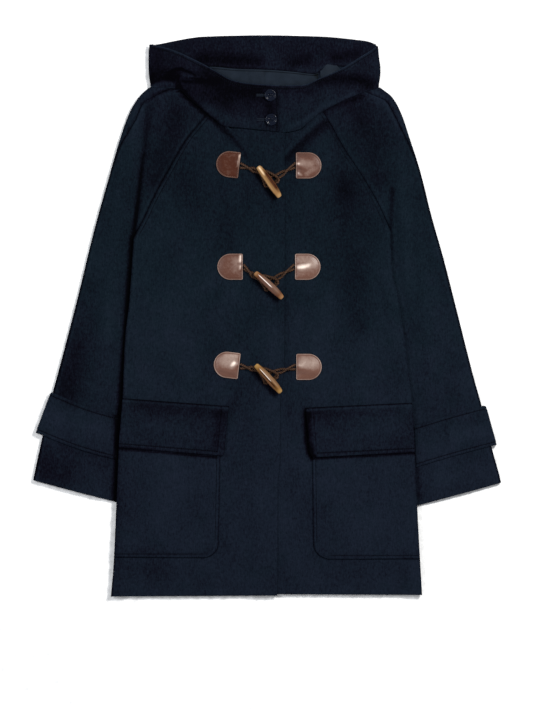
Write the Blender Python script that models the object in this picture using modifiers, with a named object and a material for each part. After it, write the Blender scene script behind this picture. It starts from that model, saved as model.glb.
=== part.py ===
"""A wool duffle coat laid flat on its back, front up, in the pieces it is sewn from.

Lengths in the tables and constants are millimetres, and MM turns them into metres.
The hem points to -Y, the hood to +Y, and the coat rests on the plane z = 0.
Left and right are as the coat is seen from its front.
"""

import math

import bmesh
import bpy
import numpy as np
from mathutils import Matrix, Vector

MM = 0.001
COLLECTION = "duffle_coat"

# Cloth, leather, cord and the gap between pieces.
WOOL = 3.0
LINING = 1.0
LEATHER = 2.0
CORD = 3.0
GAP = 0.3
SEAM_HALF_GAP = 0.2
ARM_SEAM_HALF_GAP = 0.45
SEAM_EDGE = 0.25
NECK_HALF_GAP = 0.5

# Heights of the upper faces above the surface that the coat lies on.
FRONT_TOP = 9.5
SLEEVE_TOP = 9.6
CROWN_TOP = 8.0
HOOD_TOP = 17.8
LAP_RISE = WOOL + GAP
TOGGLE_Z = 24.5

# Where the body lies over the sleeve beside it.
BODY_OVER_SLEEVE = 3.4
BACK_OVER_SLEEVE = 6.6
FRONT_RAMP = (12.0, 36.0)
BACK_RAMP = (9.0, 32.0)
# Height above the underarm at which that ends, for the front and the back, and its length.
FRONT_FADE_Y = 75.0
BACK_FADE_Y = 60.0
FADE_LENGTH = 60.0
TUCK = 8.0
SLEEVE_TUCKED_TOP = 6.3
SLEEVE_EDGE_RADIUS = 4.8

# The lap of the fronts and of the hood at the throat.
LAP_RAMP = (-38.0, -16.0)
UNDERLAP_X = -12.0

HOOD_LAP_X = 19.5
HOOD_OVER_FRONT = 3.5
# From the throat lap to where the hood lies over the fronts.
HOOD_FOOT_X = (50.0, 62.0)
# How soon the hood reaches its full height above its foot, at the throat and over the fronts.
HOOD_REACH = (75.0, 30.0)
# How far the hood falls towards its folded sides.
HOOD_SIDE_DROP = 5.0
HOOD_SIDE_REACH = 35.0
# Its folded edges turn down by this radius, in radians from the upright.
HOOD_CURL = 5.0
CURL_ANGLES = (1.4, 0.9, 0.45)
THROAT_Y = 302.0
SHOULDER_Y = 375.5
LINING_FOOT_Y = 353.0

# Back neck, which lies over the folded crown; the pieces on it rise by a share of that.
NECK_RAMP = (320.0, 373.0)
BACK_NECK_LIFT = CROWN_TOP + GAP
LIFT_SHARE = 0.5
NECK_REACH = 140.0
NECK_FADE = 45.0

BUTTON_DIAMETER = 20.0
BUTTON_THICKNESS = 4.5
BUTTON_CLEARANCE = 0.6
PATCH_WIDTH = 42.0
PATCH_HEIGHT = 43.5
TOGGLE_LENGTH = 62.0
TOGGLE_RADIUS = 6.2
TOGGLE_FLATNESS = 0.75
CORD_SPREAD = 3.8
CORD_APART = 2.8
CORD_CLEARANCE = 0.5
PATCH_CLEARANCE = 1.4

COLOURS = {
    # name: (base colour, roughness)
    "wool": ((0.008, 0.013, 0.024), 0.9),
    "satin": ((0.020, 0.032, 0.045), 0.4),
    "leather": ((0.16, 0.065, 0.040), 0.35),
    "horn": ((0.45, 0.20, 0.07), 0.25),
    "cord": ((0.10, 0.055, 0.030), 0.8),
    "button": ((0.012, 0.016, 0.028), 0.2),
}


def table(columns, *rows):
    """Rows of numbers as a dictionary of named arrays."""
    names = columns.split()
    return {name: np.array([row[i] for row in rows], float) for i, name in enumerate(names)}


# Outline of each side, from the hood down to the hem.
BODY_EDGE = {
    "left": table(
        "y x",
        (285, -202), (228, -212.5), (181, -216), (129, -220.5), (28, -227.5), (-40, -235),
        (-137, -239), (-211, -245), (-309, -249), (-414, -254), (-466, -258.5),
    ),
    "right": table(
        "y x",
        (285, 211), (205, 207.5), (139, 203.5), (100, 204.5), (66, 207.5), (35, 215.5),
        (-175, 241), (-313, 247), (-466, 255.5),
    ),
}
SLEEVE_OUTLINE = {
    "left": table(
        "y x",
        (378, -193.5), (363, -210), (337, -226.5), (292, -243), (223, -263), (140, -286),
        (28, -313.5), (-106, -348.5), (-124, -353.5), (-195, -370), (-267, -385.5), (-290, -389.5),
    ),
    "right": table(
        "y x",
        (378, 184), (361, 205.5), (338, 219), (292, 235), (239, 252), (167, 270), (91, 291.5),
        (26, 308), (-106, 341.5), (-147, 353), (-219, 370.5), (-273, 385), (-290, 388),
    ),
}
RAGLAN_SEAM = {
    "left": table(
        "y x",
        (380, -64), (350, -88), (327, -104), (290, -134), (241, -162.5), (186, -192), (160, -204),
        (129, -220.5),
    ),
    "right": table(
        "y x",
        (380, 56), (350, 82), (330, 96), (274, 128), (229, 157.5), (183, 184), (139, 203.5),
    ),
}
UNDERARM_Y = {"left": 129.0, "right": 139.0}
# Distance in from the sleeve's outline to the seam between its two pieces.
ARM_SEAM = {
    "left": table(
        "y inset",
        (378, 44), (368, 30), (350, 14), (325, 15), (307, 11), (279, 4), (240, 1.8), (-300, 1.8),
    ),
    "right": table(
        "y inset",
        (378, 44), (363, 26), (354, 14), (338, 13), (309, 9), (283, 5), (250, 1.8), (-300, 1.8),
    ),
}
CUFF_Y = {"left": (-271.0, -309.0), "right": (-275.0, -315.0)}
# The left front's edge, which laps over the right front.
FRONT_EDGE = table(
    "y x",
    (305, 29), (100, 29), (-77, 28), (-139, 21.5), (-238, 20.5), (-275, 17), (-466, 16.5),
)
NECK_SEAM = {
    "left": table(
        "x y",
        (-88, 350), (-80, 331), (-66, 314), (-60, 309), (-45, 308.5), (-20, 306), (5, 303.5), (29, 301),
    ),
    "right": table(
        "x y",
        (-12, 300.5), (20, 300.5), (45, 303.8), (57, 307), (64, 316), (72, 332), (82, 350),
    ),
}
HEM_Y = {"left": (-462.5, -461.0), "right": (-460.0, -458.7)}

# Hood: the opening's edge, the outline of its top and its lower edge over the shoulders.
HOOD_SIDE_X = {"left": -194.0, "right": 184.5}
HOOD_RIM = {
    "left": table(
        "x y",
        (-194, 448), (-156, 437), (-113, 417.5), (-85, 402.5), (-57, 387.5), (-28, 382), (20, 378.5),
    ),
    "right": table("x y", (-12, 379), (57, 379), (84, 389.5), (115, 402.5), (156, 427), (184.5, 445)),
}
HOOD_FOOT = {
    "left": table(
        "x y",
        (-194, 376.5), (-170, 376), (-149, 374.5), (-128, 357), (-105, 338), (-85, 322), (-70, 312),
        (-60, 311.5), (-45, 310), (-20, 307.3), (5, 304.7), (20, 303.2),
    ),
    "right": table(
        "x y",
        (-12, 301.3), (20, 301.5), (45, 305), (57, 310), (66, 318), (87, 334), (128, 356),
        (146, 363.5), (165, 370.5), (184.5, 376),
    ),
}
HOOD_TOP_ARC = table("x y", (-190, 446.5), (-101, 461), (-4, 463), (87, 461), (148, 455), (179, 448))
BACK_RAGLAN = {
    "left": table("y x", (410, -95), (350, -97), (129, -220.5)),
    "right": table("y x", (410, 90), (350, 92), (139, 203.5)),
}
BACK_HEM_Y = -458.0
BACK_NECK = table(
    "x y",
    (-178, 402), (-120, 408), (-95, 411), (-50, 407.5), (-2, 406), (44, 402.5), (78, 399),
    (92, 406), (108, 412), (172, 402),
)

POCKETS = {
    # y of the top and bottom, x of the inner edge at each, and the radius of the lower corner
    "left": dict(top=-172.0, bottom=-398.0, inner=(-76.5, -81.0), corner=23.0),
    "right": dict(top=-172.0, bottom=-400.5, inner=(73.0, 76.0), corner=26.0),
}
FLAPS = {
    # each edge: y at the body's edge and at the inner end; x of the inner end at top and bottom
    "left": dict(upper=(-135.5, -148.5), lower=(-217.0, -231.5), inner=(-63.5, -71.5), corner=4.0),
    "right": dict(upper=(-143.0, -151.0), lower=(-225.0, -233.5), inner=(63.0, 70.5), corner=9.0),
}
CUFF_BANDS = {
    # side: outer edge and inner edge, each from the upper to the lower corner
    "left": dict(outer=((-357.5, -126.0), (-382.5, -193.0)), inner_y=(-165.0, -237.5), sag=4.0),
    "right": dict(outer=((360.5, -148.0), (378.5, -213.0)), inner_y=(-181.5, -249.5), sag=-1.0),
}
FASTENINGS = table(
    "left_x left_y left_turn left_width right_x right_y toggle_x toggle_y toggle_angle",
    (-46.0, 248.0, -7.0, 38.5, 47.0, 248.0, 3.0, 221.0, -54.5),
    (-40.5, 81.0, 0.0, PATCH_WIDTH, 45.5, 81.0, 2.6, 50.5, -43.0),
    (-46.5, -83.0, -7.0, PATCH_WIDTH, 47.5, -84.0, 1.8, -103.0, -47.5),
)
BUTTONS = table("x y", (4.8, 363.5), (6.3, 323.5))

# Routes under a toggle, along it towards its upper end and across it towards the upper right;
# each point is lifted by that share of a cord's thickness off the front.
TOGGLE_CORD_ROUTE = table(
    "along across lift",
    (28, -5, 0.5), (18, 5.5, 0.9), (9, 10.5, 1), (2, 13.8, 1), (-4.5, 15, 1), (-8.5, 12, 1),
    (-7, 6, 1), (-2.5, 1, 1), (0.5, -4, 1), (2, -8, 1), (9, -6.2, 0.9), (18, -4.6, 0.6), (24, -6.4, 0.3),
)
LOOP_CORD_ROUTE = table(
    "along across lift",
    (2.5, 15.5, 0), (5, 9, 0), (5, 2, 0), (3.5, -5, 0), (0.5, -9.2, 0),
    (-3.5, -8.5, 0), (-5.5, -3, 0), (-5.8, 4, 0), (-5.2, 11, 0), (-4, 16.5, 0),
)
# Beyond the front's edge a cord comes down to the front beneath over this much of its way.
CORD_STEP = (2.0, 14.0)

# The largest folds: a ridge along each line, with its half width and height.
FOLDS = table(
    "x0 y0 x1 y1 half_width height",
    (-182, 379, -160, 397, 7, 2.6),
    (-160, 397, -128, 397, 7, 3.0),
    (-128, 397, -78, 381, 8, 2.2),
    (100, 392, 150, 404, 9, 2.2),
    (110, 372, 165, 384, 8, 1.8),
)

# Rows of the body, from the neck to the hem; the first ones follow the raglan seam.
SEAM_ROWS = (350, 338, 322, 300, 272, 240, 208, 180, 160, 145)
BODY_ROWS = (112, 90, 60, 30, -20, -80, -140, -200, -260, -310)
HEM_ROWS = (-365, -420, -450)
EDGE_COLUMNS = (0.0, 6.0, 12.0, 18.0, 24.0, 30.0, 36.0)


def ease(t):
    """A smooth step from 0 to 1."""
    t = np.clip(t, 0.0, 1.0)
    return float(t * t * (3.0 - 2.0 * t))


def mix(a, b, t):
    return a + (b - a) * t


def slope_at(k, v, i):
    """Slope through row i that never overshoots the rows beside it."""
    if i == 0 or i == len(k) - 1:
        j = min(i, len(k) - 2)
        return (v[j + 1] - v[j]) / (k[j + 1] - k[j])
    before = (v[i] - v[i - 1]) / (k[i] - k[i - 1])
    after = (v[i + 1] - v[i]) / (k[i + 1] - k[i])
    if before * after <= 0.0:
        return 0.0
    return 2.0 * before * after / (before + after)


def follow(columns, key, value, at):
    """The value column at a key, along a smooth line through the table's rows."""
    order = np.argsort(columns[key])
    k = columns[key][order]
    v = columns[value][order]
    i = int(np.clip(np.searchsorted(k, at) - 1, 0, len(k) - 2))
    span = k[i + 1] - k[i]
    t = float(np.clip((at - k[i]) / span, 0.0, 1.0))
    near = v[i] * (1 + 2 * t) * (1 - t) ** 2 + slope_at(k, v, i) * span * t * (1 - t) ** 2
    far = v[i + 1] * t * t * (3 - 2 * t) + slope_at(k, v, i + 1) * span * t * t * (t - 1)
    return float(near + far)


def outward(side):
    """The direction from the coat's middle to this side along X."""
    return -1.0 if side == "left" else 1.0


def side_of(x):
    return "left" if x < 0 else "right"


def body_edge(side, y):
    return follow(BODY_EDGE[side], "y", "x", y)


def front_side_x(side, y):
    """The raglan seam above the underarm, the body's edge below it."""
    if y > UNDERARM_Y[side]:
        return follow(RAGLAN_SEAM[side], "y", "x", y)
    return body_edge(side, y)


def back_side_x(side, y):
    """The back's raglan seam above the underarm, the body's edge below it."""
    if y > UNDERARM_Y[side]:
        line = BACK_RAGLAN[side]
        return float(np.interp(y, line["y"][::-1], line["x"][::-1]))
    return body_edge(side, y)


def inside_edge(side, x, y):
    """Distance in from the body's edge, negative outside it."""
    return outward(side) * (body_edge(side, y) - x)


def ramp(inside, limits):
    """1 nearer the edge than the first limit, 0 farther in than the second."""
    return ease((limits[1] - inside) / (limits[1] - limits[0]))


def neck_lift(y):
    """How far the crown folded under the neck lifts the back."""
    return BACK_NECK_LIFT * ease((y - NECK_RAMP[0]) / (NECK_RAMP[1] - NECK_RAMP[0]))


def front_rise(side, x, y):
    """How far the front rises towards its edge, where it lies over the sleeve."""
    fade = ease((UNDERARM_Y[side] + FRONT_FADE_Y - y) / FADE_LENGTH)
    return BODY_OVER_SLEEVE * fade * ramp(inside_edge(side, x, y), FRONT_RAMP)


def front_height(x, y):
    """Upper face of the fronts without the lap."""
    return FRONT_TOP + LIFT_SHARE * neck_lift(y) + front_rise(side_of(x), x, y)


def lap(x):
    """Extra height of what laps over the piece beneath it at the middle."""
    return LAP_RISE * ease((x - LAP_RAMP[0]) / (LAP_RAMP[1] - LAP_RAMP[0]))


def top_of_front(side, x, y):
    """Upper face of the front on this side, with its lap."""
    return front_height(x, y) + (lap(x) if side == "left" else 0.0)


def back_height(x, y):
    """Lower face of the back."""
    side = side_of(x)
    fade = ease((UNDERARM_Y[side] + BACK_FADE_Y - y) / FADE_LENGTH)
    return neck_lift(y) + BACK_OVER_SLEEVE * fade * ramp(inside_edge(side, x, y), BACK_RAMP)


def beside_neck(x, y):
    """How far the crown lifts a sleeve or the hood, fading away from the neck."""
    return LIFT_SHARE * neck_lift(y) * ease((NECK_REACH - abs(x)) / NECK_FADE)


def sleeve_height(side, x, y):
    """Upper face of the sleeve, away from its rounded outer edge."""
    inside = inside_edge(side, x, y)
    above_underarm = ease((y - UNDERARM_Y[side] - 4.0) / 24.0)
    high = front_rise(side, x, y) * ease((inside + 6.0) / 10.0)
    low = (SLEEVE_TOP - SLEEVE_TUCKED_TOP) * ease((inside + 34.0) / 26.0)
    return SLEEVE_TOP + beside_neck(x, y) + high * above_underarm - low * (1.0 - above_underarm)


def fold_relief(x, y):
    """Height of the largest folds at a point."""
    height = 0.0
    for i in range(len(FOLDS["x0"])):
        start = Vector((FOLDS["x0"][i], FOLDS["y0"][i]))
        along = Vector((FOLDS["x1"][i], FOLDS["y1"][i])) - start
        offset = Vector((x, y)) - start
        t = min(max(offset.dot(along) / along.dot(along), 0.0), 1.0)
        distance = (offset - t * along).length
        height = max(height, FOLDS["height"][i] * math.exp(-((distance / FOLDS["half_width"][i]) ** 2)))
    return height


def hood_height(side, x, y):
    """Upper face of a hood side without the lap."""
    over_front = ease((abs(x) - HOOD_FOOT_X[0]) / (HOOD_FOOT_X[1] - HOOD_FOOT_X[0]))
    foot = mix(THROAT_Y, follow(HOOD_FOOT[side], "x", "y", x), over_front)
    foot_z = FRONT_TOP + HOOD_OVER_FRONT * over_front + beside_neck(x, foot)
    from_side = abs(HOOD_SIDE_X[side] - x)
    top_z = HOOD_TOP - HOOD_SIDE_DROP * (1.0 - ease(from_side / HOOD_SIDE_REACH))
    reach = mix(*HOOD_REACH, over_front)
    return mix(foot_z, top_z, ease((y - foot) / reach)) + fold_relief(x, y)


def collection():
    """The collection that holds the coat."""
    found = bpy.data.collections.get(COLLECTION)
    if found is None:
        found = bpy.data.collections.new(COLLECTION)
        bpy.context.scene.collection.children.link(found)
    return found


def material(name):
    """The Principled material of that name."""
    found = bpy.data.materials.get(name)
    if found is None:
        colour, roughness = COLOURS[name]
        found = bpy.data.materials.new(name)
        found.use_nodes = True
        shader = found.node_tree.nodes["Principled BSDF"]
        shader.inputs["Base Color"].default_value = (*colour, 1.0)
        shader.inputs["Roughness"].default_value = roughness
    return found


def add_object(name, data, look):
    """Link a new object with its material into the coat's collection."""
    item = bpy.data.objects.new(name, data)
    data.materials.append(material(look))
    collection().objects.link(item)
    return item


def wall(name, rows, thickness=WOOL, look="wool"):
    """Cloth from rows of points on its outer face, thickened inwards."""
    shape = bmesh.new()
    grid = [[shape.verts.new(Vector(p) * MM) for p in row] for row in rows]
    for lower, upper in zip(grid, grid[1:]):
        for a, b, c, d in zip(lower, lower[1:], upper[1:], upper):
            shape.faces.new((a, b, c, d))
    data = bpy.data.meshes.new(name)
    shape.to_mesh(data)
    shape.free()
    data.shade_smooth()
    item = add_object(name, data, look)
    solid = item.modifiers.new("thickness", "SOLIDIFY")
    solid.thickness = thickness * MM
    solid.offset = -1.0
    solid.use_even_offset = True
    return item


def upward(side, row):
    """A row in the order that turns the face between rows up."""
    return row if side == "left" else row[::-1]


def across_front(side, edge, middle):
    """X of a front's columns: close together at the side and at the lap, wider between."""
    inward = -outward(side)
    scale = min(1.0, abs(middle - edge) / 150.0)
    near = [edge + inward * d * scale for d in EDGE_COLUMNS]
    far = [-39.0, -33.0, -27.0, -21.0, -15.0, middle] if side == "left" else [45.0, 20.0, middle]
    between = [mix(near[-1], far[0], t) for t in (0.33, 0.67)]
    return near + between + far


def make_front(side):
    """One front, from the body's edge and raglan seam to its edge at the middle."""
    stops = SEAM_ROWS + (UNDERARM_Y[side],) + BODY_ROWS + HEM_ROWS + (HEM_Y[side][0],)
    out = outward(side)

    def limits(y):
        middle = follow(FRONT_EDGE, "y", "x", y) if side == "left" else UNDERLAP_X
        return front_side_x(side, y) - out * SEAM_HALF_GAP, middle

    def share_across(x, y):
        edge, middle = limits(y)
        return (x - edge) / (middle - edge)

    neck = NECK_SEAM[side]
    neck_shares = sorted((share_across(x, y), y) for x, y in zip(neck["x"], neck["y"]))
    rows = []
    for stop in reversed(stops):
        up = (stop - stops[-1]) / (stops[0] - stops[-1])
        row = []
        for i in range(len(across_front(side, *limits(stop)))):
            y = float(stop)
            for _ in range(4):
                x = across_front(side, *limits(y))[i]
                share = share_across(x, y)
                neck_y = float(np.interp(share, *zip(*neck_shares)))
                y = mix(mix(*HEM_Y[side], share), neck_y, up)
            row.append((x, y, top_of_front(side, x, y)))
        rows.append(upward(side, row))
    return wall("front_" + side, rows)


def make_back():
    """The back, lying flat, its sides turned up over the sleeves."""
    stops = SEAM_ROWS + tuple(UNDERARM_Y.values()) + BODY_ROWS + HEM_ROWS + (BACK_HEM_Y,)
    rows = []
    for y in sorted(stops) + [362.0, 375.0, 390.0, None]:
        at = 400.0 if y is None else y
        left = back_side_x("left", at) + SEAM_HALF_GAP
        right = back_side_x("right", at) - SEAM_HALF_GAP
        scale = min(1.0, (right - left) / 300.0)
        xs = [left + d * scale for d in EDGE_COLUMNS]
        xs += [mix(xs[-1], right - EDGE_COLUMNS[-1] * scale, t) for t in (0.25, 0.5, 0.75)]
        xs += [right - d * scale for d in reversed(EDGE_COLUMNS)]
        row = []
        for x in xs:
            neck_y = follow(BACK_NECK, "x", "y", x) - NECK_HALF_GAP
            here = neck_y if y is None else y
            row.append((x, here, back_height(x, here)))
        rows.append(row[::-1])
    return wall("back", rows)


def sleeve_limits(side, y, side_x):
    """Outline and inner edge of a sleeve piece, tucked under the body below the underarm."""
    out = outward(side)
    inner = side_x(side, y) + out * SEAM_HALF_GAP
    below = UNDERARM_Y[side] - y
    if below > 0:
        inner = body_edge(side, y) + out * mix(SEAM_HALF_GAP, -TUCK, ease(below / 15.0))
    return follow(SLEEVE_OUTLINE[side], "y", "x", y), inner


QUARTER_GIRTH = SLEEVE_EDGE_RADIUS * math.pi / 2.0


def girth_at(inset):
    """Girth from the outer fold to an inset, over the rounded edge."""
    if inset < SLEEVE_EDGE_RADIUS:
        return SLEEVE_EDGE_RADIUS * math.acos(1.0 - inset / SLEEVE_EDGE_RADIUS)
    return QUARTER_GIRTH + inset - SLEEVE_EDGE_RADIUS


def sleeve_section(side, y, girth):
    """X and z at a girth from the outer fold, positive over the top, negative beneath."""
    out = outward(side)
    outline = follow(SLEEVE_OUTLINE[side], "y", "x", y)
    if abs(girth) < QUARTER_GIRTH:
        angle = girth / SLEEVE_EDGE_RADIUS
        x = outline - out * SLEEVE_EDGE_RADIUS * (1.0 - math.cos(angle))
        return x, SLEEVE_EDGE_RADIUS * (1.0 + math.sin(angle))
    x = outline - out * (abs(girth) - QUARTER_GIRTH + SLEEVE_EDGE_RADIUS)
    return x, sleeve_height(side, x, y) if girth > 0 else 0.0


def upper_girths(seam, inner):
    """Girths of the upper piece's columns: close at the outer edge and beside the body."""
    start = seam + ARM_SEAM_HALF_GAP
    shares = (0.02, 0.04, 0.12, 0.3, 0.48, 0.62, 0.72, 0.8, 0.88, 0.94, 1)
    return [start, start + SEAM_EDGE] + [mix(start, inner, t) for t in shares]


def under_girths(seam, inner):
    """Girths of the under piece's columns, from the seam round the edge and beneath."""
    start = seam - ARM_SEAM_HALF_GAP
    over = [start, start - SEAM_EDGE] + [start * t for t in (0.7, 0.4, 0.18, 0)]
    turn = [-QUARTER_GIRTH * t for t in (0.5, 1)]
    return over + turn + [-mix(QUARTER_GIRTH, inner, t) for t in (0.35, 0.7, 1)]


def make_sleeve_piece(name, side, girths, side_x):
    """Upper or under piece of a sleeve, from the cuff to the shoulder."""
    stops = SEAM_ROWS + (UNDERARM_Y[side],) + BODY_ROWS[:-1] + (CUFF_Y[side][1],)

    def girth_columns(y):
        outline, inner = sleeve_limits(side, y, side_x)
        seam = girth_at(follow(ARM_SEAM[side], "y", "inset", y))
        return girths(seam, girth_at(abs(inner - outline)))

    rows = []
    for stop in reversed(stops):
        up = (stop - stops[-1]) / (stops[0] - stops[-1])
        row = []
        for i in range(len(girth_columns(stop))):
            y = float(stop)
            for _ in range(4):
                x, z = sleeve_section(side, y, girth_columns(y)[i])
                outline, inner = sleeve_limits(side, y, side_x)
                share = min(max((x - outline) / (inner - outline), 0.0), 1.0)
                shoulder_y = float(np.interp(share, (0.0, 0.45, 1.0), (SHOULDER_Y, SHOULDER_Y, stops[0])))
                y = mix(mix(*CUFF_Y[side], share), shoulder_y, up)
            row.append((x, y, z))
        rows.append(row)
    return wall(name, rows)


def make_sleeve(side):
    """A raglan sleeve: the upper piece, and the under piece that wraps its outer edge."""
    upper = make_sleeve_piece("sleeve_upper_" + side, side, upper_girths, front_side_x)
    under = make_sleeve_piece("sleeve_under_" + side, side, under_girths, back_side_x)
    for item, inside_out in ((upper, side == "right"), (under, side == "left")):
        if inside_out:
            item.data.flip_normals()


def make_cuff_band(side):
    """The band round the cuff, standing a little off the sleeve's outer edge."""
    band = CUFF_BANDS[side]
    out = outward(side)
    (top_x, top_y), (low_x, low_y) = band["outer"]
    corner = WOOL + GAP
    rows = []
    for up in (0.0, 0.33, 0.67, 1.0):
        edge_x = mix(low_x, top_x, up)
        row = []
        y = mix(low_y, top_y, up)
        outline = follow(SLEEVE_OUTLINE[side], "y", "x", y)
        stand_off = abs(edge_x - outline)
        height = sleeve_height(side, outline, y) + WOOL + GAP
        lip = max(stand_off - 0.5, corner + 0.05)
        section = [(lip, 0.0)]
        for angle in (0, 30, 60, 90):
            turn = math.radians(angle)
            section.append((corner - corner * math.sin(turn), corner - corner * math.cos(turn)))
        for angle in (90, 60, 30, 0):
            turn = math.radians(angle)
            z = height - corner + corner * math.cos(turn)
            section.append((corner - corner * math.sin(turn), z))
        for inset, z in section:
            row.append((edge_x - out * inset, y, z))
        for share in (0.13, 0.25, 0.4, 0.55, 0.66, 0.74, 0.81, 0.87, 0.93, 1.0):
            here = mix(mix(low_y, band["inner_y"][1], share), mix(top_y, band["inner_y"][0], share), up)
            here -= band["sag"] * math.sin(math.pi * share)
            end_x = body_edge(side, here) + out * 0.5
            x = mix(edge_x, end_x, share)
            settle = ease(share / 0.25)
            z = mix(height, sleeve_height(side, x, here) + WOOL + GAP, settle)
            row.append((x, here, z))
        rows.append(row)
    item = wall("cuff_band_" + side, rows)
    if side == "right":
        item.data.flip_normals()
    return item


def make_pocket(side):
    """A patch pocket sewn into the side seam, its lower inner corner round."""
    pocket = POCKETS[side]
    out = outward(side)
    radius = pocket["corner"]
    bottom, top = pocket["bottom"], pocket["top"]
    heights = [radius * t for t in (0.0, 0.06, 0.22, 0.5, 1.0)]
    stops = [bottom + h for h in heights] + [y for y in (-320, -270, -220) if y > bottom + radius] + [top]
    rows = []
    for y in stops:
        edge = body_edge(side, y) - out * SEAM_HALF_GAP
        inner = mix(pocket["inner"][1], pocket["inner"][0], (y - bottom) / (top - bottom))
        below = max(radius - (y - bottom), 0.0)
        inner += out * (radius - math.sqrt(radius * radius - below * below))
        xs = [edge - out * d for d in EDGE_COLUMNS]
        xs += [mix(xs[-1], inner, t) for t in (0.3, 0.6, 0.85, 1.0)]
        rows.append(upward(side, [(x, y, top_of_front(side, x, y) + WOOL + GAP) for x in xs]))
    return wall("pocket_" + side, rows)


def make_flap(side):
    """A pocket flap, sewn along its upper edge and lying on the pocket."""
    flap = FLAPS[side]
    out = outward(side)
    radius = flap["corner"]
    drop = abs(flap["lower"][0] - flap["upper"][0])
    downs = [0.0, 5.0, 10.0, 16.0, 40.0] + [drop - radius * t for t in (1.0, 0.5, 0.2, 0.0)]
    rows = []
    for down in reversed(downs):
        share_down = down / drop
        inner = mix(flap["inner"][0], flap["inner"][1], share_down)
        below = max(radius - (drop - down), 0.0)
        inner += out * (radius - math.sqrt(max(radius * radius - below * below, 0.0)))
        middle_y = mix(flap["upper"][0], flap["lower"][0], share_down)
        edge = body_edge(side, middle_y) - out * SEAM_HALF_GAP
        xs = [edge - out * d for d in EDGE_COLUMNS]
        xs += [mix(xs[-1], inner, t) for t in (0.3, 0.6, 0.85, 1.0)]
        row = []
        for x in xs:
            across = (x - edge) / (flap["inner"][0] - edge)
            upper_y = mix(*flap["upper"], across)
            y = mix(upper_y, mix(*flap["lower"], across), share_down)
            over_pocket = ease(down / 16.0) * (WOOL + GAP)
            row.append((x, y, top_of_front(side, x, y) + WOOL + GAP + over_pocket))
        rows.append(upward(side, row))
    return wall("flap_" + side, rows)


def make_hood_side(side):
    """One side of the hood, from its folded edge to the lap at the throat."""
    out = outward(side)
    edge = HOOD_SIDE_X[side]
    curl = HOOD_CURL
    fold = [(curl - curl * math.sin(a), curl - curl * math.cos(a)) for a in CURL_ANGLES + (0.0,)]
    if side == "left":
        inner = [-180, -168, -156, -144, -132, -120, -108, -97, -87, -78, -70, -62, -56, -50]
        inner += [-42, -35, -29, -23, -16, 4, HOOD_LAP_X]
    else:
        inner = [172, 160, 148, 136, 124, 112, 101, 91, 82, 74, 68, 62, 56, 50, 35, 20, 4, UNDERLAP_X]
    columns = [(edge - out * inset, drop) for inset, drop in fold] + [(x, 0.0) for x in inner]
    rows = []
    for share in (0.0, 0.1, 0.22, 0.36, 0.5, 0.65, 0.8, 0.92, 1.0):
        row = []
        for x, drop in columns:
            foot = follow(HOOD_FOOT[side], "x", "y", x)
            y = mix(foot, follow(HOOD_RIM[side], "x", "y", x), share)
            z = hood_height(side, x, y) - drop
            row.append((x, y, z + (lap(x) if side == "left" else 0.0)))
        rows.append(upward(side, row))
    return wall("hood_" + side, rows)


def make_hood_back():
    """The hood's back, its inner face up, turned down over the folded crown at the top."""
    curl = HOOD_CURL
    level = BACK_NECK_LIFT + WOOL
    xs = np.linspace(-176.0, 168.0, 14)
    rows = []
    for share in (0.0, 0.33, 0.67, 1.0):
        row = []
        for x in xs:
            low = follow(BACK_NECK, "x", "y", x) + NECK_HALF_GAP
            high = follow(HOOD_TOP_ARC, "x", "y", x) - curl
            row.append((x, mix(low, high, share), level))
        rows.append(row)
    for angle in reversed(CURL_ANGLES):
        row = []
        for x in xs:
            high = follow(HOOD_TOP_ARC, "x", "y", x) - curl
            row.append((x, high + curl * math.sin(angle), level - curl * (1.0 - math.cos(angle))))
        rows.append(row)
    return wall("hood_back", rows)


def make_crown():
    """The hood's crown, folded under: one rounded solid with a groove between its layers."""
    inset = WOOL + 0.8
    left = HOOD_SIDE_X["left"] + inset
    right = HOOD_SIDE_X["right"] - inset
    xs = np.linspace(left + 6.0, right - 6.0, 11)
    arc = [(x, follow(HOOD_TOP_ARC, "x", "y", x) - inset) for x in xs[::-1]]
    bottom = SHOULDER_Y + 2.5
    outline = [(left, bottom + 6), (left + 2, bottom + 2), (left + 6, bottom)]
    outline += [(x, bottom) for x in np.linspace(left + 40, right - 40, 6)]
    outline += [(right - 6, bottom), (right - 2, bottom + 2), (right, bottom + 6)]
    outline += [(right, arc[0][1] - 8), (right - 2, arc[0][1] - 2)] + arc
    outline += [(left + 2, arc[-1][1] - 2), (left, arc[-1][1] - 8)]
    profile = ((2.2, 0.0), (0.4, 0.9), (0.2, 3.2), (1.8, 4.0), (0.2, 4.8), (0.4, 7.1), (2.2, 8.0))
    return slab("hood_crown", outline, profile)


def slab(name, outline, profile):
    """A flat solid from an outline, counterclockwise, and a profile of (inset, z) up its edge."""
    points = [Vector(p) for p in outline]
    inward = []
    for before, here, after in zip(points[-1:] + points, points, points[1:] + points[:1]):
        along = (here - before).normalized() + (after - here).normalized()
        inward.append(Vector((-along.y, along.x)).normalized())
    shape = bmesh.new()
    rings = []
    for inset, z in profile:
        ring = []
        for point, normal in zip(points, inward):
            p = point + normal * inset
            ring.append(shape.verts.new(Vector((p.x, p.y, z)) * MM))
        rings.append(ring)
    for lower, upper in zip(rings, rings[1:]):
        for a, b, c, d in zip(lower, lower[1:] + lower[:1], upper[1:] + upper[:1], upper):
            shape.faces.new((a, b, c, d))
    shape.faces.new(rings[0][::-1])
    shape.faces.new(rings[-1])
    data = bpy.data.meshes.new(name)
    shape.to_mesh(data)
    shape.free()
    return add_object(name, data, "wool")


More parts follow.
